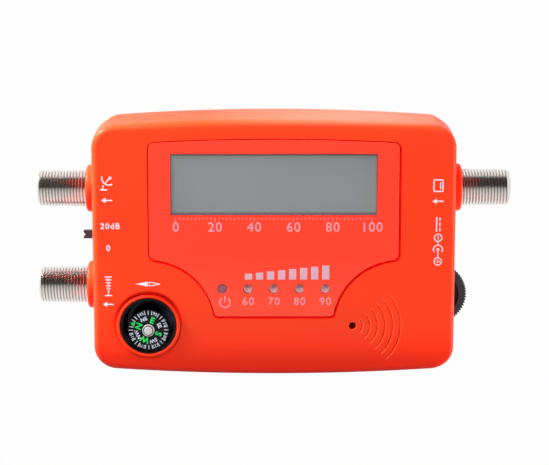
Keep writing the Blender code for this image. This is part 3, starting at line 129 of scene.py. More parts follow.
class MeterCaseSizes(bpy.types.PropertyGroup):
    """Sizes of the case and the overlay panel."""

    case_length: length("Length", 93.7, "Length of the case without its ports")
    corner: length("Corner", 6.5, "Radius of the case's corners")
    arch: length("Arch", 585.0, "Radius of the case's long sides")
    draft: length("Draft", 0.45, "How far each wall leans in from the parting line")
    face_edge: length("Face edge", 1.6, "Radius of the edge round the face")
    back_edge: length("Back edge", 1.2, "Radius of the edge round the back")
    wall: length("Wall", 2.0, "Thickness of the case's walls")
    parting_gap: length("Parting gap", 0.3, "Gap between the two halves")
    bottom_roll: length("Bottom roll", 8.0, "Width of the roll-off at the bottom")
    bottom_drop: length("Bottom drop", 1.2, "Depth of the roll-off at the bottom")
    top_roll: length("Top roll", 4.5, "Width of the roll-off at the top")
    top_drop: length("Top drop", 0.4, "Depth of the roll-off at the top")
    panel_corner: length("Panel corner", 1.6, "Radius of the panel's upper corners")
    panel_shoulder: length("Panel shoulder", 2.0, "Radius of the panel's lower corners")
    panel_foot: length("Panel foot", 1.2, "Radius of the corners of the panel's foot")
    panel_inset: length("Panel inset", 0.2, "How far the panel's edge stays inside its part")
    scallop: length("Scallop", 17.1, "Radius of the panel's edge round the compass")
    groove: length("Groove", 0.46, "Width of the groove round the panel")
    flange: length("Flange", 6.15, "Radius of the rings round the ports")
    flange_height: length("Flange height", 1.9, "How far the rings stand out of the wall")
    lip_crest: length("Lip crest", 0.6, "How far the compass lip stands out of the face")
    sound_hole: length("Sound hole", 0.93, "Radius of the hole over the sounder")
    arc_start: length("First arc", 2.5, "Radius of the smallest sound arc")
    arc_pitch: length("Arc pitch", 1.97, "Distance between two sound arcs")
    arc_groove: length("Arc groove", 0.34, "Radius of the section of a sound arc")


class MeterPartSizes(bpy.types.PropertyGroup):
    """Sizes of the ports, the compass and the controls."""

    thread: length("Thread", 4.76, "Radius of the port thread's crest")
    thread_pitch: length("Thread pitch", 0.794, "Distance between two turns of the thread")
    thread_depth: length("Thread depth", 0.4, "Depth of the port thread")
    port_bore: length("Port bore", 3.4, "Radius of the hole in a port")
    card_letters: length("Card letters", 1.55, "Height of the card's main letters")
    card_ring: length("Tick ring", 5.1, "Radius of the outer ends of the card's ticks")
    card_tick: length("Tick", 1.1, "Length of a tick on the card")
    tooth: length("Tooth", 0.5, "Depth of the gain wheel's teeth")
    wheel_rim: length("Wheel rim", 2.1, "Width of the gain wheel's rim")
    print_height: length("Print", 0.012, "Thickness of the printed ink")


class MeterColours(bpy.types.PropertyGroup):
    """Colours of the meter."""

    case: tint("Case", (0.94, 0.037, 0.009), "Moulded case plastic")
    panel: tint("Panel", (0.95, 0.04, 0.018), "Printed overlay panel")
    panel_ink: tint("Panel ink", (0.62, 0.24, 0.27), "Print on the panel")
    bar_ink: tint("Bar ink", (0.53, 0.31, 0.37), "Rising bars on the panel")
    case_ink: tint("Case ink", (0.85, 0.6, 0.67), "Print on the case")
    display: tint("Display", (0.262, 0.275, 0.28), "Unlit display")
    black: tint("Black", (0.005, 0.005, 0.007), "Compass bowl and card")
    card_white: tint("Card white", (0.95, 0.95, 0.97), "White marks on the card")
    card_green: tint("Card green", (0.03, 0.8, 0.12), "Green marks on the card")
    hub: tint("Hub", (0.78, 0.7, 0.62), "Turned hub of the card")
    nickel: tint("Nickel", (0.85, 0.83, 0.8), "Plating of the ports")
    wheel: tint("Wheel", (0.03, 0.046, 0.056), "Knurled gain wheel")
    knob: tint("Knob", (0.024, 0.022, 0.026), "Switch knob")


# Shader maths and materials

class Wire:
    """A socket that adds its Math nodes when it is used in an expression."""

    def __init__(self, nodes, socket):
        self.nodes = nodes
        self.socket = socket

    def __add__(self, other):
        return self.nodes.maths("ADD", self, other)

    def __sub__(self, other):
        return self.nodes.maths("SUBTRACT", self, other)

    def __rsub__(self, other):
        return self.nodes.maths("SUBTRACT", other, self)

    def __mul__(self, other):
        return self.nodes.maths("MULTIPLY", self, other)

    def __abs__(self):
        return self.nodes.maths("ABSOLUTE", self)

    def __gt__(self, other):
        return self.nodes.maths("GREATER_THAN", self, other)

    def __lt__(self, other):
        return self.nodes.maths("LESS_THAN", self, other)

    __radd__ = __add__
    __rmul__ = __mul__


class Nodes:
    """A node tree that is built by short calls."""

    def __init__(self, tree):
        self.tree = tree

    def node(self, kind, settings=None, inputs=None, output=0):
        """Add a node, with its settings first and then the values or links of its sockets."""
        new = self.tree.nodes.new(kind)
        for key, value in (settings or {}).items():
            if key == "stops":
                stops = new.color_ramp.elements
                while len(stops) < len(value):
                    stops.new(0.5)
                for stop, (position, colour) in zip(stops, value):
                    stop.position = position
                    stop.color = colour
            else:
                setattr(new, key, value)
        for key, value in (inputs or {}).items():
            self.feed(new.inputs[key], value)
        return Wire(self, new.outputs[output])

    def feed(self, socket, value):
        """Link a wire to a socket, or set its value."""
        if isinstance(value, Wire):
            self.tree.links.new(value.socket, socket)
        else:
            socket.default_value = value

    def maths(self, operation, *values):
        """Add a Math node of an operation."""
        return self.node("ShaderNodeMath", {"operation": operation}, dict(enumerate(values)))

    def blend(self, factor, first, second):
        """Mix two colours."""
        colours = {0: factor, 6: rgba(first), 7: rgba(second)}
        return self.node("ShaderNodeMix", {"data_type": "RGBA"}, colours, 2)

    def ramp(self, value, start, end):
        """Rise from 0 to 1 while a value goes from a start to an end."""
        return self.node("ShaderNodeMapRange", inputs={0: value, 1: start, 2: end})

    def ray(self, kind):
        """Tell a kind of ray from the others."""
        return self.node("ShaderNodeLightPath", output=f"Is {kind} Ray")

    def parts(self, vector):
        """Split a vector into its three numbers."""
        split = self.node("ShaderNodeSeparateXYZ", inputs={0: vector}).socket.node
        return [Wire(self, socket) for socket in split.outputs]


class Finish(Nodes):
    """One material and the nodes that make it."""

    def __init__(self, name, roughness=0.5, metallic=0.0, specular=0.5):
        self.material = bpy.data.materials.new(name)
        self.material.use_nodes = True
        super().__init__(self.material.node_tree)
        self.shader = self.tree.nodes["Principled BSDF"]
        self.set(Roughness=roughness, Metallic=metallic, Specular_IOR_Level=specular)
        self.place = self.node("ShaderNodeTexCoord", output="Object")

    def set(self, **sockets):
        """Feed the main shader's sockets."""
        for key, value in sockets.items():
            self.feed(self.shader.inputs[key.replace("_", " ")], value)
        return self

    def noise(self, scale, detail=2.0, roughness=0.5, stretch=None):
        """Add an even noise, in repeats per metre."""
        place = self.place
        if stretch:
            place = self.node("ShaderNodeMapping", inputs={"Vector": place, "Scale": stretch})
        sockets = {"Vector": place, "Scale": scale, "Detail": detail, "Roughness": roughness}
        return self.node("ShaderNodeTexNoise", inputs=sockets)

    def reach(self, axis):
        """Give the distance from an upright axis."""
        across, along, _ = self.parts(self.place)
        return self.span(across - axis.x, along - axis.y)

    def span(self, first, second):
        """Give the length of the long side of a right angle."""
        return self.maths("SQRT", first * first + second * second)

    def relief(self, height, depth):
        """Give the surface a relief of a depth in metres."""
        sockets = {"Height": height, "Distance": depth, "Strength": 1.0}
        return self.set(Normal=self.node("ShaderNodeBump", inputs=sockets))

    def mix_shaders(self, factor, first, second):
        """Show a mix of two shaders in place of the main one."""
        mixed = self.node("ShaderNodeMixShader", inputs={0: factor, 1: first, 2: second})
        self.feed(self.tree.nodes["Material Output"].inputs["Surface"], mixed)


def rgba(colour):
    """Give a colour an alpha of one, and leave a wire as it is."""
    return colour if isinstance(colour, Wire) else (*colour[:3], 1.0)


def shade(colour, *factors):
    """Darken or lighten a colour, by one factor or by one for each channel."""
    factors = factors * 3 if len(factors) == 1 else factors
    return tuple(min(1.0, channel * factor) for channel, factor in zip(colour, factors))


def plastic(name, colour, roughness, grain=0.004, vary=0.06, specular=0.5):
    """Make a moulded plastic with slow changes of tone and a fine moulded grain."""
    finish = Finish(name, specular=specular)
    slow = finish.noise(55.0, 3.0)
    fine = finish.noise(1900.0, 3.0, 0.6)
    finish.set(
        Base_Color=finish.blend(slow, shade(colour, 1.0 - vary), shade(colour, 1.0 + vary)),
        Roughness=fine * 0.08 + (slow * 0.06 + (roughness - 0.07)),
    )
    return finish.relief(fine, grain * MM).material


def metal(name, colour, roughness, scratch=1500.0, depth=0.002):
    """Make a plated or turned metal with slight stains and fine machining marks."""
    finish = Finish(name)
    stain = finish.noise(350.0, 4.0, 0.6)
    lines = finish.noise(scratch, 3.0, 0.6)
    finish.set(
        Base_Color=finish.blend(stain, shade(colour, 0.86), shade(colour, 1.08)),
        Roughness=stain * 0.12 + (lines * 0.08 + (roughness - 0.09)),
        Metallic=1.0,
    )
    return finish.relief(lines, depth * MM).material


def ink(name, colour):
    """Make a thin printed ink with a slight unevenness."""
    finish = Finish(name)
    blots = finish.noise(2600.0, 3.0)
    finish.set(
        Base_Color=finish.blend(blots, shade(colour, 0.92), shade(colour, 1.06)),
        Roughness=blots * 0.1 + 0.35,
    )
    return finish.material


def clear(name, colour, gloss=0.03, tinting=0.97, base=0.0):
    """Make a clear moulded plastic: see-through, with a reflection that grows at the rim."""
    finish = Finish(name)
    smear = finish.noise(160.0, 2.0)
    see = finish.node("ShaderNodeBsdfTransparent", inputs={"Color": rgba(shade(colour, tinting))})
    glint = {"Color": (0.92, 0.82, 0.86, 1.0), "Roughness": gloss}
    mirror = finish.node("ShaderNodeBsdfAnisotropic", inputs=glint)
    facing = finish.node("ShaderNodeLayerWeight", inputs={"Blend": 0.5}, output="Facing")
    edge = finish.maths("POWER", facing, 4.0)
    finish.mix_shaders(edge * 0.7 + (smear * 0.002 + base), see, mirror)
    return finish.material


def board(name):
    """Make a green circuit board with a faint pattern of tracks."""
    finish = Finish(name, 0.45)
    cells = finish.node(
        "ShaderNodeTexVoronoi", {"feature": "DISTANCE_TO_EDGE"},
        {"Vector": finish.place, "Scale": 420.0},
    )
    tracks = cells < 0.07
    finish.set(Base_Color=finish.blend(tracks, (0.012, 0.13, 0.045), (0.035, 0.25, 0.08)))
    return finish.relief(tracks, 0.03 * MM).material


# Modelling, by the tools used by hand

def deselect():
    """Select no object."""
    bpy.ops.object.select_all(action="DESELECT")


def focus(*objects):
    """Select only these objects and make the first the active one."""
    deselect()
    for obj in objects:
        obj.select_set(True)
    bpy.context.view_layer.objects.active = objects[0]
    return objects[0]


def added(name, data):
    """Add an object to the scene."""
    obj = bpy.data.objects.new(name, data)
    bpy.context.scene.collection.objects.link(obj)
    return obj


def meshed(name, curve):
    """Add a curve or text to the scene and make it a mesh."""
    obj = focus(added(name, curve))
    bpy.ops.object.convert(target="MESH")
    return obj


def edit(kind="FACE", selection="DESELECT"):
    """Start editing the active mesh with nothing or all of it selected."""
    bpy.ops.object.mode_set(mode="EDIT")
    bpy.ops.mesh.select_mode(type=kind)
    bpy.ops.mesh.select_all(action=selection)


def done():
    """Stop editing and give the active object."""
    bpy.ops.object.mode_set(mode="OBJECT")
    return bpy.context.active_object


def pick(kind, test):
    """Select only those faces or edges of the edited mesh that pass a test."""
    bpy.ops.mesh.select_mode(type={"faces": "FACE", "edges": "EDGE"}[kind])
    bpy.ops.mesh.select_all(action="DESELECT")
    data = bpy.context.edit_object.data
    mesh = bmesh.from_edit_mesh(data)
    for item in getattr(mesh, kind):
        if test(item):
            item.select_set(True)
    mesh.select_flush_mode()
    bmesh.update_edit_mesh(data)


def outwards():
    """Select all of the edited mesh and turn its faces outwards."""
    bpy.ops.mesh.select_all(action="SELECT")
    bpy.ops.mesh.normals_make_consistent(inside=False)


def apply_place():
    """Put the active object's place and turn into its mesh."""
    bpy.ops.object.transform_apply(location=True, rotation=True, scale=True)


def placed(obj, place=(0.0, 0.0, 0.0), side=0, turn=0.0):
    """Move an object, after laying its Z axis along X or turning it about Z."""
    focus(obj)
    obj.rotation_euler = (0.0, side * math.pi / 2, turn)
    obj.location = place
    apply_place()
    return obj


def upright(obj, axis, turn=0.0):
    """Move an object sideways to an upright axis."""
    return placed(obj, (axis.x, axis.y, 0.0), turn=turn)


def sideways(obj, reach, axis, side=1):
    """Lay an object on an axis that runs along X, with its origin at a reach."""
    return placed(obj, (reach, axis.y, axis.z), side)


def line_through(name, points):
    """Draw a curve of straight stretches, and give it with its spline."""
    curve = bpy.data.curves.new(name, "CURVE")
    curve.dimensions = "3D"
    spline = curve.splines.new("POLY")
    spline.points.add(len(points) - 1)
    for point, place in zip(spline.points, points):
        point.co = (*place, 1.0)
    return curve, spline


def outline_face(name, points, height, rise=0.0):
    """Draw a closed line through points, fill it with one face and raise it if asked."""
    curve, spline = line_through(name, [(x, y, height) for x, y in points])
    spline.use_cyclic_u = True
    obj = meshed(name, curve)
    edit("EDGE", "SELECT")
    bpy.ops.mesh.edge_face_add()
    faces = bmesh.from_edit_mesh(obj.data).faces
    faces.ensure_lookup_table()
    if faces[0].normal.z < 0:
        bpy.ops.mesh.flip_normals()
    if rise:
        bpy.ops.mesh.select_mode(type="FACE")
        bpy.ops.mesh.select_all(action="SELECT")
        bpy.ops.mesh.extrude_region_move(TRANSFORM_OT_translate={"value": (0.0, 0.0, rise)})
        outwards()
    return done()


def step_in(steps):
    """Inset the selected face again and again, each time by a width and a rise."""
    for width, rise in steps:
        bpy.ops.mesh.inset(thickness=width, depth=rise, use_boundary=True, use_even_offset=True)


def stepped(name, outline, height, up, down=()):
    """Model a closed body from an outline by insets up and down from it."""
    outline_face(name, outline, height)
    edit(selection="SELECT")
    step_in(up)
    pick("edges", lambda edge: edge.is_boundary)
    bpy.ops.mesh.edge_face_add()
    outwards()
    pick("faces", lambda face: face.normal.z < -LEVEL)
    step_in(down)
    return done()


def fillet_steps(radius, steps):
    """List the insets that round an edge, from the wall to the flat."""
    places = []
    for step in range(steps + 1):
        angle = math.pi / 2 * step / steps
        places.append((radius * (1 - math.cos(angle)), radius * math.sin(angle)))
    return [(b[0] - a[0], b[1] - a[1]) for a, b in zip(places, places[1:])]


def turned(name, profile, sides=64, closed=False):
    """Turn a profile of radius and height points: a circle, extruded from point to point."""
    radius, height = profile[0]
    fill = "NOTHING" if closed else "NGON"
    deselect()
    bpy.ops.mesh.primitive_circle_add(
        vertices=sides, radius=radius, fill_type=fill, rotation=(0.0, 0.0, FIRST_TURN)
    )
    obj = bpy.context.active_object
    obj.name = name
    obj.data.name = name
    obj.location.z = height
    apply_place()
    edit("EDGE" if closed else "FACE", "SELECT")
    for wide, tall in profile[1:]:
        shift = (0.0, 0.0, tall - height)
        bpy.ops.mesh.extrude_region_move(TRANSFORM_OT_translate={"value": shift})
        factor = wide / radius
        bpy.ops.transform.resize(value=(factor, factor, 1.0), center_override=(0.0, 0.0, tall))
        radius, height = wide, tall
    if closed:
        pick("edges", lambda edge: edge.is_boundary)
        bpy.ops.mesh.bridge_edge_loops()
    outwards()
    return done()


def rounded(corners, steps=5):
    """List a profile's points, with an arc for each corner that has a radius."""
    points = []
    for index, (radius, height, fillet) in enumerate(corners):
        corner = Vector((radius, height))
        if not fillet:
            points.append((radius, height))
            continue
        before = (Vector(corners[index - 1][:2]) - corner).normalized()
        after = (Vector(corners[(index + 1) % len(corners)][:2]) - corner).normalized()
        half = before.angle(after) / 2
        centre = corner + (before + after).normalized() * fillet / math.sin(half)
        start = corner + before * fillet / math.tan(half) - centre
        end = corner + after * fillet / math.tan(half) - centre
        sweep = start.angle(end)
        for step in range(steps + 1):
            first = math.sin((1 - step / steps) * sweep) / math.sin(sweep)
            second = math.sin(step / steps * sweep) / math.sin(sweep)
            points.append(tuple(centre + start * first + end * second))
    return points


def low_dome(radius, rise, top, steps, share):
    """List the points of a low round dome, from its edge to near its crest."""
    ball = (radius ** 2 + rise ** 2) / (2 * rise)
    spread = math.asin(radius / ball)
    points = []
    for step in range(steps + 1):
        angle = spread * (1 - share * step / steps)
        points.append((ball * math.sin(angle), top - ball * (1 - math.cos(angle))))
    return points


def in_mm(corners):
    """Turn a profile in millimetres into metres."""
    return [tuple(value * MM for value in corner) for corner in corners]


def box(name, lowest, highest, bevel=0.0):
    """Model a block between two corners, with its edges bevelled if asked."""
    lowest, highest = Vector(lowest), Vector(highest)
    deselect()
    bpy.ops.mesh.primitive_cube_add(size=1.0, location=(lowest + highest) / 2)
    obj = bpy.context.active_object
    obj.name = name
    obj.scale = highest - lowest
    apply_place()
    if bevel:
        edit("EDGE", "SELECT")
        bpy.ops.mesh.bevel(offset=bevel, segments=3, affect="EDGES")
        done()
    return obj


def joined(name, objects):
    """Join separate bodies into one object."""
    focus(*objects)
    if len(objects) > 1:
        bpy.ops.object.join()
    objects[0].name = name
    return objects[0]


def carve(target, tool, operation="DIFFERENCE"):
    """Cut, join or trim a body with another, which is used up."""
    modifier = target.modifiers.new("carve", "BOOLEAN")
    modifier.operation = operation
    modifier.solver = "EXACT"
    modifier.object = tool
    focus(target)
    bpy.ops.object.modifier_apply(modifier=modifier.name)
    bpy.data.objects.remove(tool)
    return target


def twin(obj, name):
    """Copy a body, with a mesh of its own."""
    return added(name, obj.data.copy())


def smooth(obj, angle=30.0):
    """Shade a body smooth up to an angle, with its large faces kept flat."""
    focus(obj)
    bpy.ops.object.shade_smooth_by_angle(angle=math.radians(angle))
    modifier = obj.modifiers.new("normals", "WEIGHTED_NORMAL")
    modifier.keep_sharp = True
    bpy.ops.object.modifier_apply(modifier=modifier.name)
    return obj


def fitted(obj, name, body, material, slot, *nodes, angle=30.0):
    """Finish a piece: its name, shading, material, body and the nodes that it stands for."""
    obj.name = name
    obj.data.name = name
    smooth(obj, angle)
    obj.data.materials.clear()
    obj.data.materials.append(material)
    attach(obj, body)
    if nodes:
        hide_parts(*nodes)
    return obj


def dress(node, material):
    """Give a node of the frame its material."""
    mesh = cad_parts[node].data
    mesh.materials.clear()
    mesh.materials.append(material)


# Outlines

def arc(centre, radius, start, end, steps):
    """List points of an arc, both ends included."""
    points = []
    for step in range(steps + 1):
        angle = start + (end - start) * step / steps
        points.append((centre[0] + radius * math.cos(angle), centre[1] + radius * math.sin(angle)))
    return points


def reflected(points):
    """Reflect an outline's points across the Y axis, in reverse order."""
    return [(-x, y) for x, y in reversed(points)]


def arched_corner(half_length, top, corner, arch, inset):
    """List the right half of an arched top edge, from its corner to its middle."""
    centre = (0.0, top - arch)
    corner_x = half_length - corner
    corner_y = centre[1] + math.sqrt((arch - corner) ** 2 - corner_x ** 2)
    meeting = math.atan2(corner_y - centre[1], corner_x)
    turn = arc((corner_x, corner_y), corner - inset, 0.0, meeting, 14)
    return turn + arc(centre, arch - inset, meeting, math.pi / 2, 14)[1:]


def case_outline(sizes, inset=0.0):
    """List the case's outline, drawn in by an inset."""
    half = sizes.case_length / 2
    right = arched_corner(half, CASE_WIDTH / 2, sizes.corner, sizes.arch, inset)
    top = right + reflected(right)[1:]
    return top + [(-x, -y) for x, y in top]


def panel_outline(sizes, offset=0.0):
    """List the panel's outline, grown outwards by an offset."""
    highest = high("overlay_panel")
    lowest = low("overlay_panel")
    half, top = highest.x, highest.y
    right = arched_corner(half, top, sizes.panel_corner, sizes.arch, -offset)
    shoulder, foot = sizes.panel_shoulder, sizes.panel_foot
    shoulder_x = shoulder - half
    reach = sizes.scallop + shoulder
    shoulder_y = COMPASS.y + math.sqrt(reach ** 2 - (shoulder_x - COMPASS.x) ** 2)
    turn = math.atan2(shoulder_y - COMPASS.y, shoulder_x - COMPASS.x)
    side = arc((shoulder_x, shoulder_y), shoulder + offset, math.pi, math.pi + turn, 10)
    foot_y = foot + lowest.y
    reach = sizes.scallop + foot
    foot_x = COMPASS.x + math.sqrt(reach ** 2 - (foot_y - COMPASS.y) ** 2)
    foot_turn = math.atan2(foot_y - COMPASS.y, foot_x - COMPASS.x)
    bay = arc((COMPASS.x, COMPASS.y), sizes.scallop - offset, turn, foot_turn, 28)
    end = arc((foot_x, foot_y), foot + offset, math.pi + foot_turn, 1.5 * math.pi, 10)
    left = side + bay[1:] + end[1:]
    return right + reflected(right)[1:] + left + reflected(left)


def band(points, width):
    """List the outline of a line of a width drawn through points."""
    left, right = [], []
    for index, point in enumerate(points):
        here = Vector(point)
        before = Vector(points[max(0, index - 1)])
        after = Vector(points[min(len(points) - 1, index + 1)])
        along = (after - before).normalized()
        across = Vector((-along.y, along.x)) * width / 2
        left.append(tuple(here + across))
        right.append(tuple(here - across))
    return right + left[::-1]


# Case

def roll_drop(sizes, y):
    """Say how far the face lies below its flat middle."""
    if y < 0:
        beyond = -y - (CASE_WIDTH / 2 - sizes.bottom_roll)
        return sizes.bottom_drop * max(0.0, beyond / sizes.bottom_roll) ** 2
    beyond = y - (CASE_WIDTH / 2 - sizes.top_roll)
    return sizes.top_drop * max(0.0, beyond / sizes.top_roll) ** 2


def case_body(sizes):
    """Model the closed outside of the case, with its rolled face."""
    face_rise = CASE_DEPTH - PARTING - sizes.face_edge
    back_rise = PARTING - sizes.back_edge
    up = [(sizes.draft, face_rise), *fillet_steps(sizes.face_edge, 8)]
    down = [(sizes.draft, back_rise), *fillet_steps(sizes.back_edge, 6)]
    body = stepped("case_body", case_outline(sizes), PARTING, up, down)
    focus(body)
    edit()
    rows = 8
    cuts = [row / rows for row in range(rows)]
    lines = [sizes.bottom_roll * (1 - cut) - CASE_WIDTH / 2 for cut in cuts]
    lines += [CASE_WIDTH / 2 - sizes.top_roll * (1 - cut) for cut in cuts]
    for line in lines:
        pick("faces", lambda face: min(v.co.z for v in face.verts) > CASE_DEPTH - SLACK)
        bpy.ops.mesh.bisect(
            plane_co=(0.0, line, 0.0), plane_no=(0.0, 1.0, 0.0), threshold=CUT_REACH
        )
    done()
    for vertex in body.data.vertices:
        if vertex.co.z > CASE_DEPTH - sizes.face_edge - SLACK:
            vertex.co.z -= roll_drop(sizes, vertex.co.y)
    edit(selection="SELECT")
    bpy.ops.mesh.quads_convert_to_tris(ngon_method="BEAUTY")
    return done()


def case_additions(sizes):
    """Model the port rings, the compass well with its lip, and the screw bosses."""
    parts = []
    root = sizes.case_length / 2 - 1.0 * MM
    reach = sizes.case_length / 2 + sizes.flange_height - root
    flange = rounded([
        (sizes.flange, 0.0, 0.0),
        (sizes.flange, reach, 0.7 * MM),
        (4.0 * MM, reach, 0.0),
    ], 8)
    for name, side in PORTS:
        ring = turned("ring", flange, 96)
        parts.append(sideways(ring, side * root, middle(f"{name}_body"), side))
    foot = low("compass_bowl").z - 1.3 * MM
    face = CASE_DEPTH - 1.0 * MM
    crest = CASE_DEPTH + sizes.lip_crest
    seat = crest - 0.4 * MM
    well = rounded([
        (8.5 * MM, foot, 0.0), (8.5 * MM, face, 0.0), (8.15 * MM, face, 0.0),
        (8.15 * MM, crest, 0.4 * MM), (7.36 * MM, crest, 0.3 * MM),
        (7.36 * MM, seat, 0.0), (7.0 * MM, seat, 0.0),
    ], 7)
    parts.append(upright(turned("well", well, 128), COMPASS))
    for name in CASE_SCREWS:
        boss = turned("boss", [(3.0 * MM, 1.0 * MM), (3.0 * MM, CASE_DEPTH - 1.0 * MM)], 32)
        parts.append(upright(boss, middle(name)))
    return parts


def window_hole(reach):
    """Model the hole for the window, with a reach in millimetres past the pane."""
    beyond = PANE_GAP + Vector((0.0, 0.0, reach)) * MM
    return box("hole", PANE[0] - beyond, PANE[1] + beyond)


def case_holes(sizes):
    """Model everything that is cut from the case."""
    over = 2.0 * MM
    wall = sizes.case_length / 2
    parts = []
    mouth = in_mm([(5.2, -4.5), (5.2, 1.45), (5.45, 1.75), (5.6, 1.9), (5.6, 4.0)])
    for name, side in PORTS:
        axis = middle(f"{name}_body")
        parts.append(sideways(turned("hole", mouth, 64), side * wall, axis, side))
    for name in CASE_SCREWS:
        lowest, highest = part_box(name)
        seat = lowest.z + 1.9 * MM
        profile = [
            (2.75 * MM, -over), (2.75 * MM, 0.0), (2.5 * MM, 0.25 * MM), (2.5 * MM, seat),
            (1.4 * MM, seat), (1.4 * MM, highest.z + 0.3 * MM),
        ]
        parts.append(upright(turned("hole", profile, 48), middle(name)))
    inside = CASE_DEPTH - 4.0 * MM
    for name in LAMPS:
        profile = [(1.8 * MM, inside), (1.8 * MM, CASE_DEPTH + over)]
        parts.append(upright(turned("hole", profile, 40), middle(name)))
    floor = low("compass_bowl").z - 0.3 * MM
    well = turned("hole", [(7.32 * MM, floor), (7.32 * MM, CASE_DEPTH + over)], 128)
    parts.append(upright(well, COMPASS))
    bevel = 0.12 * MM
    profile = [
        (sizes.sound_hole, inside),
        (sizes.sound_hole, CASE_DEPTH - bevel),
        (sizes.sound_hole + bevel, CASE_DEPTH),
        (sizes.sound_hole + bevel, CASE_DEPTH + over),
    ]
    parts.append(upright(turned("hole", profile, 40), SOUNDER))
    parts.append(window_hole(4.0))
    lowest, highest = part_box("switch_knob")
    slot_low = (-wall - over, lowest.y - 2.3 * MM, lowest.z - 0.3 * MM)
    slot_high = (4.0 * MM - wall, highest.y + 0.3 * MM, highest.z + 0.3 * MM)
    parts.append(box("hole", slot_low, slot_high))
    lowest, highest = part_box("gain_wheel")
    half = 8.37 * MM
    slot_low = (wall - 4.0 * MM, WHEEL.y - half, lowest.z - 0.4 * MM)
    slot_high = (wall + over, WHEEL.y + half, highest.z + 0.4 * MM)
    parts.append(box("hole", slot_low, slot_high))
    inlet = turned("hole", in_mm([(4.3, -4.0), (4.3, 3.0)]), 64)
    parts.append(sideways(inlet, wall, INLET))
    return parts


def panel_recess(sizes):
    """Model the recess for the panel, a little wider on its right and lower sides."""
    floor = CASE_DEPTH - 0.55 * MM
    edge = 0.06 * MM
    outline = panel_outline(sizes, sizes.groove - sizes.panel_inset)
    shifted = [(x + 0.13 * MM, y - 0.17 * MM) for x, y in outline]
    steps = [(0.0, CASE_DEPTH - floor - edge), (-edge, edge), (0.0, 2.0 * MM)]
    return stepped("recess", shifted, floor, steps)


def sound_arcs(sizes):
    """Model the round grooves by the sounder hole, and the crease round the compass."""
    parts = []
    half_fan = math.pi / 4
    for index in range(6):
        radius = sizes.arc_start + index * sizes.arc_pitch
        places = [
            (x, y, CASE_DEPTH - roll_drop(sizes, y) + 0.08 * MM)
            for x, y in arc(SOUNDER, radius, -half_fan, half_fan, 14 + 4 * index)
        ]
        curve, spline = line_through("sound_arc", places)
        curve.bevel_depth = sizes.arc_groove
        curve.bevel_resolution = 3
        curve.use_fill_caps = True
        last = len(places) - 1
        for step, point in enumerate(spline.points):
            point.radius = min(1.0, 0.25 + 5.0 * min(step, last - step) / last)
        meshed("sound_arc", curve)
        edit("VERT", "SELECT")
        bpy.ops.mesh.remove_doubles(threshold=MERGE_REACH)
        outwards()
        parts.append(done())
    crease = turned("crease", in_mm([
        (8.14, -0.3), (8.14, 0.8), (9.3, 0.8), (9.1, 0.18), (8.85, 0.0), (8.45, -0.27),
    ]), 128, closed=True)
    crease.rotation_euler.x = math.radians(-2.0)
    crease.location = (COMPASS.x, COMPASS.y, CASE_DEPTH - 0.02 * MM)
    apply_place()
    parts.append(crease)
    return parts


class METER_OT_case(bpy.types.Operator):
    """Build the front and back halves of the case"""

    bl_idname = "meter.case"
    bl_label = "Case"

    def execute(self, context):
        sizes = context.scene.meter_case
        cavity_rise = CASE_DEPTH - sizes.wall - PARTING
        inner = [(sizes.draft, cavity_rise)]
        whole = case_body(sizes)
        carve(whole, stepped("cavity", case_outline(sizes, sizes.wall), PARTING, inner, inner))
        carve(whole, joined("additions", case_additions(sizes)), "UNION")
        carve(whole, joined("holes", case_holes(sizes)))
        carve(whole, panel_recess(sizes))
        carve(whole, joined("arcs", sound_arcs(sizes)))
        gap = sizes.parting_gap
        lip, lip_top = 1.2 * MM, PARTING + 1.0 * MM
        far = 100.0 * MM
        halves = (
            (twin(whole, "back"), "back", -far, PARTING - gap / 2, lip, lip_top, "UNION"),
            (whole, "front", PARTING + gap / 2, far, lip - gap, lip_top + gap, "DIFFERENCE"),
        )
        material = case_plastic(context.scene.meter_colours.case, sizes)
        foot = 1.0 * MM
        for body, side, bottom, top, inset, rim_top, operation in halves:
            room = box("room", (-far, -far, bottom), (far, far, top))
            rim = outline_face("rim", case_outline(sizes, inset), foot, rim_top - foot)
            carve(room, rim, operation)
            carve(body, room, "INTERSECT")
            fitted(body, f"case_{side}", CASE, material, "case_plastic", f"{side}_shell")
        return {"FINISHED"}


def arc_polish(finish, sizes):
    """Mask a painted highlight along the outer flank of each sound arc, and the fan that the arcs
    fill.
    """
    across, along, up = finish.parts(finish.place)
    reach = finish.reach(SOUNDER)
    turns = finish.maths("FRACT", (reach - sizes.arc_start) * (1.0 / sizes.arc_pitch))
    fan = (across - SOUNDER.x > abs(along - SOUNDER.y)) * (up > CASE_DEPTH - 1.3 * MM)
    return (turns < 0.19) * fan * (reach < sizes.arc_start + 5.5 * sizes.arc_pitch), fan


def panel_groove(finish, fan):
    """Mask the groove round the panel, which lies below the face and outside the fan, where shade
    is painted.
    """
    across, along, up = finish.parts(finish.place)
    sunk = (up < CASE_DEPTH - 0.07 * MM) * (up > CASE_DEPTH - 1.5 * MM)
    beside = abs(across) < high("overlay_panel").x + 0.8 * MM
    below = along < high("overlay_panel").y + 0.8 * MM
    above = along > low("overlay_panel").y - 0.9 * MM
    return sunk * beside * below * above * (fan < 0.5)


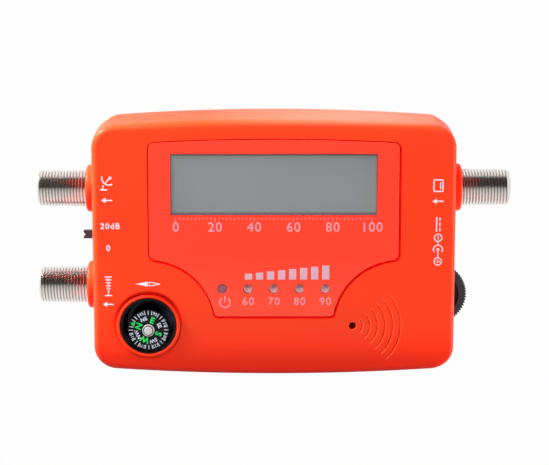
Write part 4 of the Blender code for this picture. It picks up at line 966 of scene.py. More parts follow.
def case_plastic(colour, sizes):
    """Make the case's semi-gloss plastic: slow tone changes, faint flow marks, fine grain."""
    finish = Finish("case_plastic", specular=0.21)
    slow = finish.noise(38.0, 2.0)
    flow = finish.noise(120.0, 3.0, 0.5, (1.0, 0.35, 1.0))
    fine = finish.noise(2200.0, 3.0, 0.6)
    across, along, up = finish.parts(finish.place)
    body = finish.blend(slow, shade(colour, 0.93), shade(colour, 1.03, 1.14, 1.05))
    # Painted shade: the front half is a little duller and darker in its lower middle, and deeper
    # red on its lower roll-off
    front = finish.ramp(up, PARTING, CASE_DEPTH - 3.5 * MM)
    painted_shade = finish.ramp(along, 2.0 * MM, -17.0 * MM) * front
    inward = finish.ramp(abs(across), 42.0 * MM, 24.0 * MM)
    body = finish.blend(painted_shade * inward, body, shade(colour, 0.73, 1.05, 1.2))
    lower = finish.ramp(along, -20.0 * MM, -33.0 * MM) * front
    body = finish.blend(lower, body, shade(colour, 0.76, 0.35, 0.25))
    # Painted highlight: a lighter stripe along the outer flank of each sound arc
    arc_highlight, fan = arc_polish(finish, sizes)
    body = finish.blend(arc_highlight * 0.75, body, shade(colour, 1.05, 2.4, 2.6))
    # Painted shade: the groove round the panel is a deep dark red
    groove = panel_groove(finish, fan)
    body = finish.blend(groove, body, shade(colour, 0.93, 0.04, 0.04))
    # Painted shade: round the compass the tone sinks towards the crease, on its upper side,
    # darkest in the crease
    reach = finish.reach(COMPASS)
    near = finish.ramp(reach, 9.7 * MM, 8.3 * MM) * front
    upper = finish.ramp(along - COMPASS.y, -1.0 * MM, 7.8 * MM)
    body = finish.blend(near * upper, body, shade(colour, 0.62, 0.55, 0.5))
    crease = (reach > 7.95 * MM) * finish.ramp(reach, 8.95 * MM, 8.3 * MM) * front
    body = finish.blend(crease * upper * 0.85, body, shade(colour, 0.42, 0.08, 0.06))
    # Painted reflection: the upper wall is lighter towards its right end
    wall = finish.ramp(along, 31.5 * MM, 33.3 * MM)
    wall_sheen = finish.ramp(across, -20.0 * MM, 45.0 * MM)
    finish.set(
        Base_Color=finish.blend(wall * wall_sheen, body, (colour[0], 0.15, 0.1)),
        Roughness=near * 0.25 + (fine * 0.06 + (flow * 0.08 + 0.27)),
    )
    return finish.relief(fine + flow * 0.8, 0.0035 * MM).material


# Panel and display

class METER_OT_panel(bpy.types.Operator):
    """Build the thin overlay panel with its window and lamp holes"""

    bl_idname = "meter.panel"
    bl_label = "Overlay panel"

    def execute(self, context):
        sizes = context.scene.meter_case
        bottom = CASE_DEPTH - 0.5 * MM
        edge = [(0.0, 0.4 * MM), (0.05 * MM, 0.07 * MM), (0.1 * MM, 0.03 * MM)]
        panel = stepped("panel", panel_outline(sizes, -sizes.panel_inset), bottom, edge)
        profile = [
            (1.3 * MM, bottom - 1.0 * MM), (1.3 * MM, CASE_DEPTH - 0.06 * MM),
            (1.38 * MM, CASE_DEPTH), (1.38 * MM, CASE_DEPTH + 1.0 * MM),
        ]
        holes = [upright(turned("hole", profile, 48), middle(name)) for name in LAMPS]
        carve(panel, joined("holes", [*holes, window_hole(3.0)]))
        finish = Finish("panel_film", specular=0.3)
        colour = context.scene.meter_colours.panel
        slow = finish.noise(45.0, 2.0)
        fine = finish.noise(3200.0, 2.0)
        body = finish.blend(slow, shade(colour, 0.97), shade(colour, 1.04))
        # Painted shade: the panel is duller and darker towards its lower edge
        lower = finish.ramp(finish.parts(finish.place)[1], -2.0 * MM, -14.0 * MM)
        painted_shade = shade(colour, 0.82, 1.35, 1.5)
        finish.set(Base_Color=finish.blend(lower, body, painted_shade), Roughness=fine * 0.08 + 0.3)
        finish.relief(fine, 0.002 * MM)
        fitted(panel, "panel", CASE, finish.material, "panel_film", "overlay_panel")
        return {"FINISHED"}


def display_finish(colour):
    """Make the unlit display's even grey with soft bands."""
    finish = Finish("display_glass", 0.32, specular=0.35)
    soft = finish.noise(48.0, 2.0, 0.5, (0.5, 1.6, 1.0))
    finish.set(Base_Color=finish.blend(soft, shade(colour, 0.93), shade(colour, 1.07)))
    return finish.material


def pane_finish(colour):
    """Make the smoky window with a painted shadow along its edge."""
    finish = Finish("window_clear", 0.16, specular=0.4)
    across, along, _ = finish.parts(finish.place)
    centre = (PANE[0] + PANE[1]) / 2
    half = (PANE[1] - PANE[0]) / 2 + PANE_GAP
    side = abs(across - centre.x) > half.x - 0.2 * MM
    end = abs(along - (centre.y + 0.15 * MM)) > half.y - 0.6 * MM
    edge_shadow = finish.maths("MAXIMUM", side, end)
    soft = finish.noise(50.0, 2.0, 0.5, (0.5, 1.6, 1.0))
    tone = finish.blend(soft, shade(colour, 0.94), shade(colour, 1.06))
    finish.set(
        Base_Color=finish.blend(edge_shadow, tone, (0.13, 0.1, 0.115)),
        Alpha=finish.noise(60.0) * 0.04 + (edge_shadow * 0.25 + 0.5),
    )
    return finish.material


class METER_OT_display(bpy.types.Operator):
    """Build the window pane and finish the display under it"""

    bl_idname = "meter.display"
    bl_label = "Display"

    def execute(self, context):
        gap = PANE_GAP - Vector((0.06, 0.06, 0.0)) * MM
        pane = box("pane", PANE[0] - gap, PANE[1] + gap, 0.08 * MM)
        material = pane_finish(context.scene.meter_colours.display)
        fitted(pane, "window", CASE, material, "clear_plastic", "window_pane")
        glass = box("glass", *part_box("display_glass"), 0.1 * MM)
        material = display_finish(context.scene.meter_colours.display)
        fitted(glass, "display", CASE, material, "display_glass", "display_glass")
        return {"FINISHED"}


# Lamps

class METER_OT_lamps(bpy.types.Operator):
    """Build the power lamp and the four clear signal lamps with their reflectors"""

    bl_idname = "meter.lamps"
    bl_label = "Lamps"

    def lens(self, name, rise):
        """Model a lamp's body, with a low dome of a height that fills the panel's hole."""
        lowest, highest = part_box(name)
        edge = 1.27 * MM
        profile = rounded([
            (1.85 * MM, lowest.z, 0.0), (1.85 * MM, lowest.z + 0.8 * MM, 0.15 * MM),
            (1.5 * MM, lowest.z + 0.8 * MM, 0.0), (1.5 * MM, highest.z, 0.0),
            (edge, highest.z, 0.0),
        ])
        profile += low_dome(edge, rise, CASE_DEPTH - 0.05 * MM, 8, 0.98)
        return upright(turned("lamp", profile, 48), middle(name))

    def reflector(self, node, turn):
        """Model the silvered cup in a clear lamp, with the chip on its post."""
        rim = CASE_DEPTH - 0.56 * MM
        deep = 0.75 * MM
        inner = 1.02 * MM
        steps = 8
        bowl = [(1.14 * MM, rim - deep - 0.2 * MM), (1.14 * MM, rim), (inner, rim)]
        for step in range(1, steps + 1):
            share = step / steps
            fall = deep * math.sin(share * math.pi / 2)
            bowl.append((inner * (1 - 0.95 * share), rim - fall))
        cup = turned("cup", bowl, 40)
        foot = (0.2 * MM, rim - deep - 0.1 * MM)
        tip = [(0.2 * MM, rim - 0.42 * MM), (0.12 * MM, rim - 0.36 * MM)]
        post = turned("post", [foot, *tip], 16)
        aside = 0.3 * MM
        placed(post, (aside * math.cos(turn), aside * math.sin(turn), 0.0))
        return upright(joined("cup", [cup, post]), middle(node))

    def execute(self, context):
        tinted = plastic("tinted_lens", (0.23, 0.068, 0.093), 0.42, 0.003, 0.08)
        clear_lens = clear("lamp_lens", (0.97, 0.87, 0.9), 0.15, 0.98, 0.22)
        silver = Finish("lamp_reflector", 0.4, 0.4)
        stain = silver.noise(500.0, 3.0)
        silver.set(Base_Color=silver.blend(stain, (0.85, 0.5, 0.55), (0.96, 0.8, 0.78)))
        silver.set(Roughness=stain * 0.12 + 0.3)
        lens = self.lens("power_lamp", 0.12 * MM)
        fitted(lens, "lamp_power", CASE, tinted, "tinted_lens", "power_lamp")
        for index, node in enumerate(SIGNAL_LAMPS):
            cup = self.reflector(node, 2.1 * index + 0.6)
            fitted(cup, f"lamp_reflector_{index + 1}", CASE, silver.material, "lamp_lens")
            lens = self.lens(node, 0.42 * MM)
            fitted(lens, f"lamp_lens_{index + 1}", CASE, clear_lens, "lamp_lens", node)
        return {"FINISHED"}


# Ports

def plating(colour, axis, root):
    """Make a port's nickel: stained, with painted shade in the roots of its thread."""
    finish = Finish("nickel_plate", metallic=1.0)
    _, along, up = finish.parts(finish.place)
    radius = finish.span(along - axis.y, up - axis.z)
    crest = finish.ramp(radius, root, root + 0.16 * MM)
    unshaded = finish.maths("MAXIMUM", crest, radius < root - 0.06 * MM)
    stain = finish.noise(350.0, 4.0, 0.6)
    lines = finish.noise(1500.0, 3.0, 0.6)
    bright = finish.blend(stain, shade(colour, 0.88), shade(colour, 1.08))
    finish.set(
        Base_Color=finish.blend(unshaded, (0.6, 0.52, 0.5), bright),
        Roughness=stain * 0.12 + (lines * 0.08 + 0.1),
    )
    return finish.relief(lines, 0.001 * MM).material


def port_thread(sizes, reach):
    """Model a port's threaded tube, from inside the wall to its tapered tip."""
    pitch, crest = sizes.thread_pitch, sizes.thread
    root = crest - sizes.thread_depth
    sides = 56
    shares = ((0.0, root), (0.04, root), (0.26, crest), (0.74, crest), (0.96, root), (1.0, root))
    line = bpy.data.meshes.new("thread")
    points = [(radius, 0.0, (share - 2.0) * pitch) for share, radius in shares]
    line.from_pydata(points, [(index, index + 1) for index in range(len(points) - 1)], [])
    thread = added("thread", line)
    screw = thread.modifiers.new("screw", "SCREW")
    screw.axis = "Z"
    screw.angle = 2 * math.pi
    screw.screw_offset = pitch
    screw.iterations = math.ceil(reach / pitch) + 3
    screw.steps = sides
    screw.render_steps = sides
    screw.use_normal_calculate = True
    screw.use_merge_vertices = False
    focus(thread)
    bpy.ops.object.modifier_apply(modifier=screw.name)
    taper = 0.75 * MM
    for vertex in thread.data.vertices:
        x, y, z = vertex.co
        radius = math.hypot(x, y)
        bound = min(crest - taper + max(0.0, reach - z), crest)
        if radius > bound:
            vertex.co.x, vertex.co.y = x * bound / radius, y * bound / radius
    edit("VERT", "SELECT")
    bpy.ops.mesh.remove_doubles(threshold=2 * MERGE_REACH)
    for place, way in ((-0.3 * MM, -1.0), (reach, 1.0)):
        bpy.ops.mesh.select_all(action="SELECT")
        bpy.ops.mesh.bisect(
            plane_co=(0.0, 0.0, place), plane_no=(0.0, 0.0, way), clear_outer=True, use_fill=True,
            threshold=CUT_REACH,
        )
    outwards()
    done()
    ends = [(sizes.port_bore, -1.0 * MM), (sizes.port_bore, reach + 1.0 * MM)]
    return carve(thread, turned("bore", ends, sides))


def port_metal(sizes, reach):
    """Model a port's body along its own axis, from its inner block to its tip."""
    collar = turned("collar", rounded(in_mm([
        (3.4, -8.8, 0.0), (4.9, -8.8, 0.0), (4.9, -0.3, 0.1), (3.4, -0.3, 0.0),
    ]), 3), 64, closed=True)
    bottom = -8.9 * MM
    half = 5.1 * MM
    block = box("block", (-half, -half, bottom), (half, half, bottom + 4.7 * MM), 0.2 * MM)
    carve(block, turned("bore", in_mm([(3.4, -12.0), (3.4, 0.0)]), 56))
    return joined("port_metal", [port_thread(sizes, reach), collar, block])


class METER_OT_ports(bpy.types.Operator):
    """Build the three threaded ports with their insulators and contacts"""

    bl_idname = "meter.ports"
    bl_label = "Ports"

    def execute(self, context):
        sizes = context.scene.meter_parts
        colours = context.scene.meter_colours
        reach = high("receiver_port_body").x - FLANGE_FACE
        sleeve = turned("sleeve", rounded([
            (1.1 * MM, -8.6 * MM, 0.0), (3.1 * MM, -8.6 * MM, 0.0),
            (3.1 * MM, reach - 0.5 * MM, 0.15 * MM), (1.75 * MM, reach - 0.5 * MM, 0.1 * MM),
            (1.1 * MM, reach - 1.0 * MM, 0.0),
        ], 4), 48, closed=True)
        tip = reach - 0.9 * MM
        contact = turned("contact", rounded([
            (0.8 * MM, -12.5 * MM, 0.0), (0.8 * MM, tip, 0.12 * MM),
            (0.4 * MM, tip - 0.1 * MM, 0.0), (0.4 * MM, tip - 5.0 * MM, 0.0),
        ], 4), 32)
        root = sizes.thread - sizes.thread_depth
        white = plastic("port_white", (0.8, 0.79, 0.74), 0.45)
        brass = metal("contact_brass", (0.78, 0.57, 0.26), 0.28)
        patterns = (
            ("body", port_metal(sizes, reach), "nickel_plate",
             lambda axis: plating(colours.nickel, axis, root)),
            ("insulator", sleeve, "white_plastic", lambda axis: white),
            ("contact", contact, "contact_brass", lambda axis: brass),
        )
        for kind, pattern, slot, finish in patterns:
            for name, side in PORTS:
                node = f"{name}_{kind}"
                axis = middle(f"{name}_body")
                piece = sideways(twin(pattern, node), side * FLANGE_FACE, axis, side)
                fitted(piece, f"{node}_shown", CASE, finish(axis), slot, node, angle=38.0)
            bpy.data.objects.remove(pattern)
        return {"FINISHED"}


# Compass

def card_mark(text, height, radius, bearing, north, weight=0.02):
    """Letter a mark on the card, with its top outwards."""
    angle = north - math.radians(bearing)
    place = (CARD_AXIS.x + radius * math.cos(angle), CARD_AXIS.y + radius * math.sin(angle))
    return lettering(text, height, place, high("compass_card").z, angle - math.pi / 2, weight)


class METER_OT_compass(bpy.types.Operator):
    """Build the compass: bowl, dome, card with its marks, and hub"""

    bl_idname = "meter.compass"
    bl_label = "Compass"

    def capsule(self, colours):
        """Model the glossy black bowl and the clear dome over it."""
        floor = low("compass_bowl").z
        rim = CASE_DEPTH + 0.35 * MM
        seat = high("compass_bowl").z
        inside = floor + 0.8 * MM
        bowl = turned("bowl", rounded([
            (0.5 * MM, floor, 0.0), (7.2 * MM, floor, 0.2 * MM), (7.2 * MM, rim, 0.15 * MM),
            (6.88 * MM, rim, 0.1 * MM), (6.88 * MM, seat, 0.0), (6.5 * MM, seat, 0.1 * MM),
            (6.3 * MM, inside, 0.6 * MM), (0.5 * MM, inside, 0.0),
        ], 6), 96)
        upright(bowl, COMPASS)
        finish = Finish("bowl_black", 0.16, specular=0.3)
        # Painted highlight: a soft bluish highlight on the bowl's upper right, inside its rim
        across, along, _ = finish.parts(finish.place)
        toward = (across - COMPASS.x) * 0.81 + (along - COMPASS.y) * 0.59
        highlight_side = finish.ramp(toward, 3.6 * MM, 6.4 * MM)
        edge = finish.ramp(finish.reach(COMPASS), 6.6 * MM, 6.0 * MM)
        highlight_tint = (0.16, 0.16, 0.27)
        finish.set(Base_Color=finish.blend(highlight_side * edge, colours.black, highlight_tint))
        finish.relief(finish.noise(1900.0), 0.001 * MM)
        fitted(bowl, "compass_capsule", CASE, finish.material, "black_plastic", "compass_bowl")
        lowest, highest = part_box("compass_dome")
        sides = []
        for radius, top in ((6.35 * MM, highest.z - 0.5 * MM), (6.82 * MM, highest.z)):
            curve = low_dome(radius, top - lowest.z - 0.9 * MM, top, 12, 0.997)
            sides.append([(radius, lowest.z), *curve])
        inner, outer = sides
        dome = upright(turned("dome", inner[::-1] + outer, 96), COMPASS)
        material = clear("dome_clear", (0.96, 0.97, 1.0), 0.02, 0.99)
        fitted(dome, "compass_cover", CASE, material, "clear_plastic", "compass_dome")

    def turning_card(self, colours):
        """Model the card and its hub."""
        lowest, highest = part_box("compass_card")
        top = highest.z - 0.02 * MM
        disc = turned("disc", rounded([
            (0.8 * MM, lowest.z, 0.0), (5.25 * MM, lowest.z, 0.1 * MM),
            (5.25 * MM, top, 0.12 * MM), (0.8 * MM, top, 0.0),
        ], 4), 96, closed=True)
        material = plastic("card_black", colours.black, 0.5, 0.003, 0.15, 0.2)
        upright(disc, CARD_AXIS)
        fitted(disc, "card_disc", CARD, material, "card_black", "compass_card")
        lowest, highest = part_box("card_hub")
        floor, rim, top = lowest.z + 0.1 * MM, lowest.z + 0.5 * MM, highest.z
        hub = turned("hub", rounded([
            (0.3 * MM, lowest.z, 0.0), (1.55 * MM, lowest.z, 0.0), (1.55 * MM, rim, 0.08 * MM),
            (1.36 * MM, rim, 0.06 * MM), (1.26 * MM, floor, 0.0), (1.06 * MM, floor, 0.0),
            (1.06 * MM, top, 0.1 * MM), (0.05 * MM, top, 0.0),
        ], 5), 64)
        finish = Finish("hub_metal", 0.35, 0.4)
        grain = finish.noise(2500.0, 3.0)
        reach = finish.reach(CARD_AXIS)
        gap = (reach > 1.05 * MM) * (reach < 1.28 * MM)
        body = finish.blend(grain, shade(colours.hub, 0.9), shade(colours.hub, 1.08))
        # Painted shade: the groove between the hub's rim and its cap is darkened
        finish.set(Base_Color=finish.blend(gap * 0.85, body, (0.12, 0.1, 0.09)))
        material = finish.relief(grain, 0.003 * MM).material
        upright(hub, CARD_AXIS)
        fitted(hub, "card_cap", CARD, material, "hub_metal", "card_hub")

    def marks(self, sizes, colours):
        """Print the card's letters, bearings and ticks."""
        top = high("compass_card").z
        north = math.radians(158.0)
        green = [card_mark(letter, sizes.card_letters, 2.62 * MM, 90 * index, north, 0.045)
                 for index, letter in enumerate("NESW")]
        tip = sizes.card_ring - 0.1 * MM
        arrow = [(tip, 0.0), (tip - 1.15 * MM, 0.62 * MM), (tip - 1.15 * MM, -0.62 * MM)]
        pointer = outline_face("north", arrow[::-1], top, sizes.print_height)
        piece = joined("green", [*green, upright(pointer, CARD_AXIS, north)])
        fitted(piece, "card_letters", CARD, ink("card_green", colours.card_green), "card_black")
        white = [card_mark(letters, 0.95 * MM, 3.0 * MM, 90 * index + 45, north)
                 for index, letters in enumerate(("NE", "SE", "SW", "NW"))]
        for bearing in range(45, 360, 45):
            white.append(card_mark(str(bearing), 0.8 * MM, 4.5 * MM, bearing, north, 0.0))
        outer = sizes.card_ring
        inner = outer - sizes.card_tick
        half = 0.08 * MM
        bar = [(inner, -half), (outer, -half), (outer, half), (inner, half)]
        for step in range(32):
            if step % 4:
                tick = outline_face("tick", bar, top, sizes.print_height)
                white.append(upright(tick, CARD_AXIS, north - step * math.pi / 16))
        piece = joined("white", white)
        fitted(piece, "card_marks", CARD, ink("card_white", colours.card_white), "card_black")

    def execute(self, context):
        colours = context.scene.meter_colours
        self.capsule(colours)
        self.turning_card(colours)
        self.marks(context.scene.meter_parts, colours)
        return {"FINISHED"}


# Controls

class METER_OT_controls(bpy.types.Operator):
    """Build the knurled gain wheel, the switch knob, and the power inlet"""

    bl_idname = "meter.controls"
    bl_label = "Controls"

    def wheel(self, sizes, colours):
        """Model the gain wheel: a toothed rim round a sunk web."""
        lowest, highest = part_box("gain_wheel")
        radius = (highest.y - lowest.y) / 2
        teeth = 66
        sides = 2 * teeth
        bevel, edge_rise = 0.16 * MM, 0.14 * MM
        deselect()
        bpy.ops.mesh.primitive_cylinder_add(
            vertices=sides, radius=radius, depth=highest.z - lowest.z, end_fill_type="NGON"
        )
        wheel = bpy.context.active_object
        edit()
        for way, drop in ((1, -0.95 * MM), (-1, -0.2 * MM)):
            pick("faces", lambda face: face.normal.z * way > LEVEL)
            web = radius - sizes.wheel_rim - 3.0 * MM
            step_in([(bevel, edge_rise), (sizes.wheel_rim - bevel, 0.0),
                     (0.12 * MM, drop), (web, 0.0), (0.2 * MM, 0.1 * MM)])
        done()
        valley = 1.0 - sizes.tooth / radius
        half = (highest.z - lowest.z) / 2
        for vertex in wheel.data.vertices:
            x, y, z = vertex.co
            step = round(math.atan2(y, x) / (2 * math.pi) * sides)
            if step % 2 and math.hypot(x, y) > radius - 0.2 * MM:
                vertex.co.x, vertex.co.y = x * valley, y * valley
            vertex.co.z = max(-half, min(half, z * half / (half + edge_rise)))
        carve(wheel, turned("bore", in_mm([(1.6, -3.0), (1.6, 3.0)]), 40))
        placed(wheel, WHEEL)
        finish = Finish("wheel_plastic", specular=0.35)
        # Painted shade: the sunk web is much darker than the rim
        web = finish.reach(WHEEL) < radius - sizes.wheel_rim - 0.02 * MM
        fine = finish.noise(1900.0, 3.0, 0.6)
        body = finish.blend(fine, shade(colours.wheel, 0.88), shade(colours.wheel, 1.12))
        finish.set(
            Base_Color=finish.blend(web, body, shade(colours.wheel, 0.15)),
            Roughness=fine * 0.08 + 0.4,
        )
        finish.relief(fine, 0.006 * MM)
        fitted(wheel, "gain_wheel_shown", DIAL, finish.material, "wheel_plastic", "gain_wheel")

    def knob(self, colours):
        """Model the switch knob, with a notch and two grip ribs at its tip."""
        lowest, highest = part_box("switch_knob")
        half = (highest.y - lowest.y) / 2
        centre = (highest.y + lowest.y) / 2
        notch = 0.62 * MM
        outline = [
            (highest.x, centre - half), (highest.x, centre + half), (lowest.x, centre + half),
            (lowest.x, centre + 0.55 * half), (lowest.x + notch, centre),
            (lowest.x, centre - 0.55 * half), (lowest.x, centre - half),
        ]
        knob = outline_face("knob", outline[::-1], lowest.z, highest.z - lowest.z)
        edit("EDGE", "SELECT")
        bpy.ops.mesh.bevel(offset=0.09 * MM, segments=2, affect="EDGES")
        done()
        material = plastic("knob_black", colours.knob, 0.42, 0.005, 0.12)
        fitted(knob, "switch_knob_shown", KNOB, material, "black_plastic", "switch_knob")

    def inlet(self):
        """Model the power inlet: body, collar with a rounded mouth, and centre pin."""
        lowest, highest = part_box("power_inlet")
        mouth = highest.x
        shoulder = high("front_shell").x - 2.75 * MM
        body = box("body", lowest, (shoulder, highest.y, highest.z), 0.25 * MM)
        bore = turned("bore", in_mm([(3.15, -10.0), (3.15, 3.0)]), 48)
        carve(body, sideways(bore, mouth, INLET))
        collar = turned("collar", rounded(in_mm([
            (3.15, -6.0, 0.0), (4.0, -6.0, 0.0), (4.0, 0.0, 0.2), (3.15, 0.0, 0.25),
        ]), 4), 64, closed=True)
        end = turned("end", in_mm([(3.15, -9.5), (3.15, -9.2)]), 48)
        ends = [sideways(part, mouth, INLET) for part in (collar, end)]
        piece = joined("inlet", [body, *ends])
        material = plastic("inlet_black", (0.012, 0.012, 0.013), 0.35, 0.004, 0.12)
        fitted(piece, "power_socket", CASE, material, "black_plastic", "power_inlet")
        lowest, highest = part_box("power_inlet_pin")
        back, tip = lowest.x, highest.x
        pin = turned("pin", rounded([
            (1.0 * MM, back, 0.0), (1.0 * MM, tip, 0.45 * MM), (0.05 * MM, tip, 0.0),
        ], 6), 32)
        sideways(pin, 0.0, INLET)
        material = metal("pin_nickel", (0.62, 0.6, 0.57), 0.25)
        fitted(pin, "power_socket_pin", CASE, material, "nickel_plate", "power_inlet_pin")

    def execute(self, context):
        colours = context.scene.meter_colours
        self.wheel(context.scene.meter_parts, colours)
        self.knob(colours)
        self.inlet()
        return {"FINISHED"}


class METER_OT_screws(bpy.types.Operator):
    """Build the four cross-head screws in the back"""

    bl_idname = "meter.screws"
    bl_label = "Case screws"

    def execute(self, context):
        material = metal("screw_steel", (0.5, 0.5, 0.49), 0.33, 2200.0, 0.003)
        lowest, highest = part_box("case_screw_1")
        total = highest.z - lowest.z
        pattern = turned("screw", rounded([
            (1.0 * MM, total, 0.0), (1.1 * MM, total - 0.4 * MM, 0.0), (1.1 * MM, 1.6 * MM, 0.0),
            (2.2 * MM, 1.6 * MM, 0.1 * MM), (2.2 * MM, 0.75 * MM, 0.3 * MM),
            (1.3 * MM, 0.0, 0.8 * MM), (0.05 * MM, 0.0, 0.0),
        ], 6), 48)
        arms = []
        for turn in (0.0, math.pi / 2):
            arm = box("arm", *in_mm([(-1.2, -0.24, -1.0), (1.2, 0.24, 0.55)]))
            arms.append(placed(arm, turn=turn))
        pit = turned("pit", in_mm([(0.75, -1.0), (0.62, 0.4), (0.1, 1.1)]), 8)
        cross = carve(carve(arms[0], arms[1], "UNION"), pit, "UNION")
        carve(pattern, cross)
        for index, node in enumerate(CASE_SCREWS):
            axis = middle(node)
            screw = placed(twin(pattern, node), (axis.x, axis.y, lowest.z), turn=0.5 + 0.7 * index)
            fitted(screw, f"{node}_shown", CASE, material, "screw_steel", node)
        bpy.data.objects.remove(pattern)
        return {"FINISHED"}


# Print

def lettering(text, height, place, level=PRINT_LEVEL, turn=0.0, weight=0.03, spacing=1.08):
    """Letter a word or number as a thin body of ink, with capitals of a height."""
    half = 0.006 * MM
    size_to_capital = 1.42
    font = bpy.data.curves.new("text", "FONT")
    font.body = text
    font.align_x = "CENTER"
    font.align_y = "CENTER"
    font.space_character = spacing
    font.size = height * size_to_capital
    font.offset = weight * height
    font.extrude = half
    font.resolution_u = 4
    return placed(meshed("text", font), (*place, level + half), turn=turn)


def printed(outline):
    """Print a filled outline on the face."""
    height = bpy.context.scene.meter_parts.print_height
    return outline_face("print", outline, PRINT_LEVEL, height)


def stroke(at, width, *points):
    """Print a line through points, in millimetres from a place."""
    return printed(band(in_mm((at[0] + x, at[1] + y) for x, y in points), width * MM))


def patch(at, *points):
    """Print a filled shape through points, in millimetres from a place."""
    return printed(in_mm((at[0] + x, at[1] + y) for x, y in points))


def loop(at, x, y, radius, width, start=0.0, end=359.9):
    """Print a circle or part of one, in millimetres from a place and in degrees."""
    centre = (at[0] + x, at[1] + y)
    turns = math.radians(start), math.radians(end)
    return stroke((0.0, 0.0), width, *arc(centre, radius, *turns, 40))


def outlined(width, *corners):
    """List the strokes between the corners of a closed shape."""
    return [(stroke, width, *ends) for ends in zip(corners, corners[1:] + corners[:1])]


ARROW = (
    (stroke, 0.3, (1.3, 0.0), (-0.4, 0.0)),
    (patch, (-1.5, 0.0), (-0.4, -0.7), (-0.4, 0.7)),
)
RODS = (1.45, 1.25, 1.1, 0.95, 0.8)
CASE_SIGNS = (
    # Dish that points at a small moon
    ((-42.4, 17.6), (
        (loop, 0.5, 0.7, 1.75, 0.3, 165.0, 300.0),
        (stroke, 0.26, (-0.35, -0.45), (0.6, 0.55)),
        (loop, 0.8, 0.75, 0.26, 0.26),
        (stroke, 0.3, (-0.9, -1.1), (-1.1, -2.2)),
        (stroke, 0.3, (-1.7, -2.3), (0.1, -2.3)),
    )),
    # Aerial with five rods
    ((-42.4, -9.6), (
        (stroke, 0.28, (0.0, -2.4), (0.0, 2.6)),
        *[(stroke, 0.26, (-rod / 1.6, 2.4 - step * 0.78), (rod / 1.6, 2.4 - step * 0.78))
          for step, rod in enumerate(RODS)],
        (stroke, 0.3, (-0.9, -2.5), (0.9, -2.5)),
    )),
    # Box with a screen for the receiver
    ((41.8, 16.4), (
        *outlined(0.28, (-1.15, -1.5), (1.15, -1.5), (1.15, 1.5), (-1.15, 1.5)),
        (stroke, 0.26, (0.55, -0.9), (0.55, 0.9)),
    )),
    # Direct current: a line over three dashes
    ((41.9, 6.4), (
        (stroke, 0.3, (-0.45, -1.9), (-0.45, 1.9)),
        *[(stroke, 0.3, (0.4, step - 0.42), (0.4, step + 0.42)) for step in (-1.35, 0.0, 1.35)],
    )),
    # Arrows beside the three ports
    ((-42.4, 12.6), ARROW),
    ((-42.4, -14.4), ARROW),
    ((41.8, 12.4), ARROW),
    # Polarity of the inlet: minus outside, plus on the pin
    ((41.9, 0.0), (
        (loop, 0.0, 2.95, 0.95, 0.24),
        (stroke, 0.28, (0.0, 2.5), (0.0, 3.4)),
        (loop, 0.0, -0.1, 1.15, 0.24, -35.0, 215.0),
        (stroke, 0.24, (0.0, 1.05), (0.0, 1.9)),
        (loop, 0.0, -0.1, 0.2, 0.36),
        (stroke, 0.24, (0.0, -0.1), (0.0, -2.2)),
        (loop, 0.0, -3.2, 0.95, 0.24),
        (stroke, 0.26, (0.0, -3.65), (0.0, -2.75)),
        (stroke, 0.26, (-0.45, -3.2), (0.45, -3.2)),
    )),
    # Needle over the compass
    ((-32.3, -9.1), (
        (patch, (-3.2, 0.0), (0.0, 0.62), (0.0, -0.62)),
        *outlined(0.2, (0.35, -0.5), (0.35, 0.5), (3.2, 0.0)),
    )),
)


class METER_OT_print(bpy.types.Operator):
    """Print the panel's bars, numbers and power mark, and the marks on the case"""

    bl_idname = "meter.print"
    bl_label = "Print"

    def panel_marks(self, colours):
        """Print the bars, the scale, the lamp numbers and the power mark."""
        bars = []
        count, shortest, tallest, width = 8, 1.5, 3.65, 1.85
        first, apart, foot = -7.41, 2.82, -7.9
        for index in range(count):
            tall = shortest + index * (tallest - shortest) / (count - 1)
            place = (first + apart * index, foot)
            bars.append(patch(place, (0.0, 0.0), (width, 0.0), (width, tall), (0.0, tall)))
        piece = joined("bars", bars)
        fitted(piece, "panel_bars", CASE, ink("bar_ink", colours.bar_ink), "panel_film")
        parts = []
        for node, number in zip(SIGNAL_LAMPS, ("60", "70", "80", "90")):
            place = (middle(node).x, -13.7 * MM)
            parts.append(lettering(number, 2.0 * MM, place, weight=0.008, spacing=1.17))
        power = (middle("power_lamp").x / MM + 0.62, -13.88)
        parts.append(loop(power, 0.0, 0.0, 1.32, 0.3, 122.0, 418.0))
        parts.append(stroke(power, 0.3, (0.0, 1.65), (0.0, 0.0)))
        left, pitch = -25.0, 1.0
        for index in range(51):
            tall = 1.0 if index % 10 == 0 else 0.7 if index % 5 == 0 else 0.45
            parts.append(stroke((left + pitch * index, 8.1), 0.16, (0.0, 0.0), (0.0, -tall)))
        for index in range(6):
            place = ((left + 10 * pitch * index) * MM, 5.6 * MM)
            number = str(20 * index)
            parts.append(lettering(number, 2.4 * MM, place, weight=0.018, spacing=1.14))
        piece = joined("marks", parts)
        fitted(piece, "panel_marks", CASE, ink("panel_ink", colours.panel_ink), "panel_film")

    def case_marks(self, colours):
        """Print the switch's steps, the port and inlet signs, and the compass needle."""
        steps = (("20dB", (-41.75 * MM, 5.9 * MM), 1.2), ("0", (-42.3 * MM, 0.2 * MM), 1.08))
        parts = [lettering(text, 1.5 * MM, place, weight=0.022, spacing=spacing)
                 for text, place, spacing in steps]
        for place, marks in CASE_SIGNS:
            parts += [draw(place, *values) for draw, *values in marks]
        piece = joined("case_marks", parts)
        fitted(piece, "case_marks", CASE, ink("case_ink", colours.case_ink), "case_plastic")

    def execute(self, context):
        colours = context.scene.meter_colours
        self.panel_marks(colours)
        self.case_marks(colours)
        return {"FINISHED"}


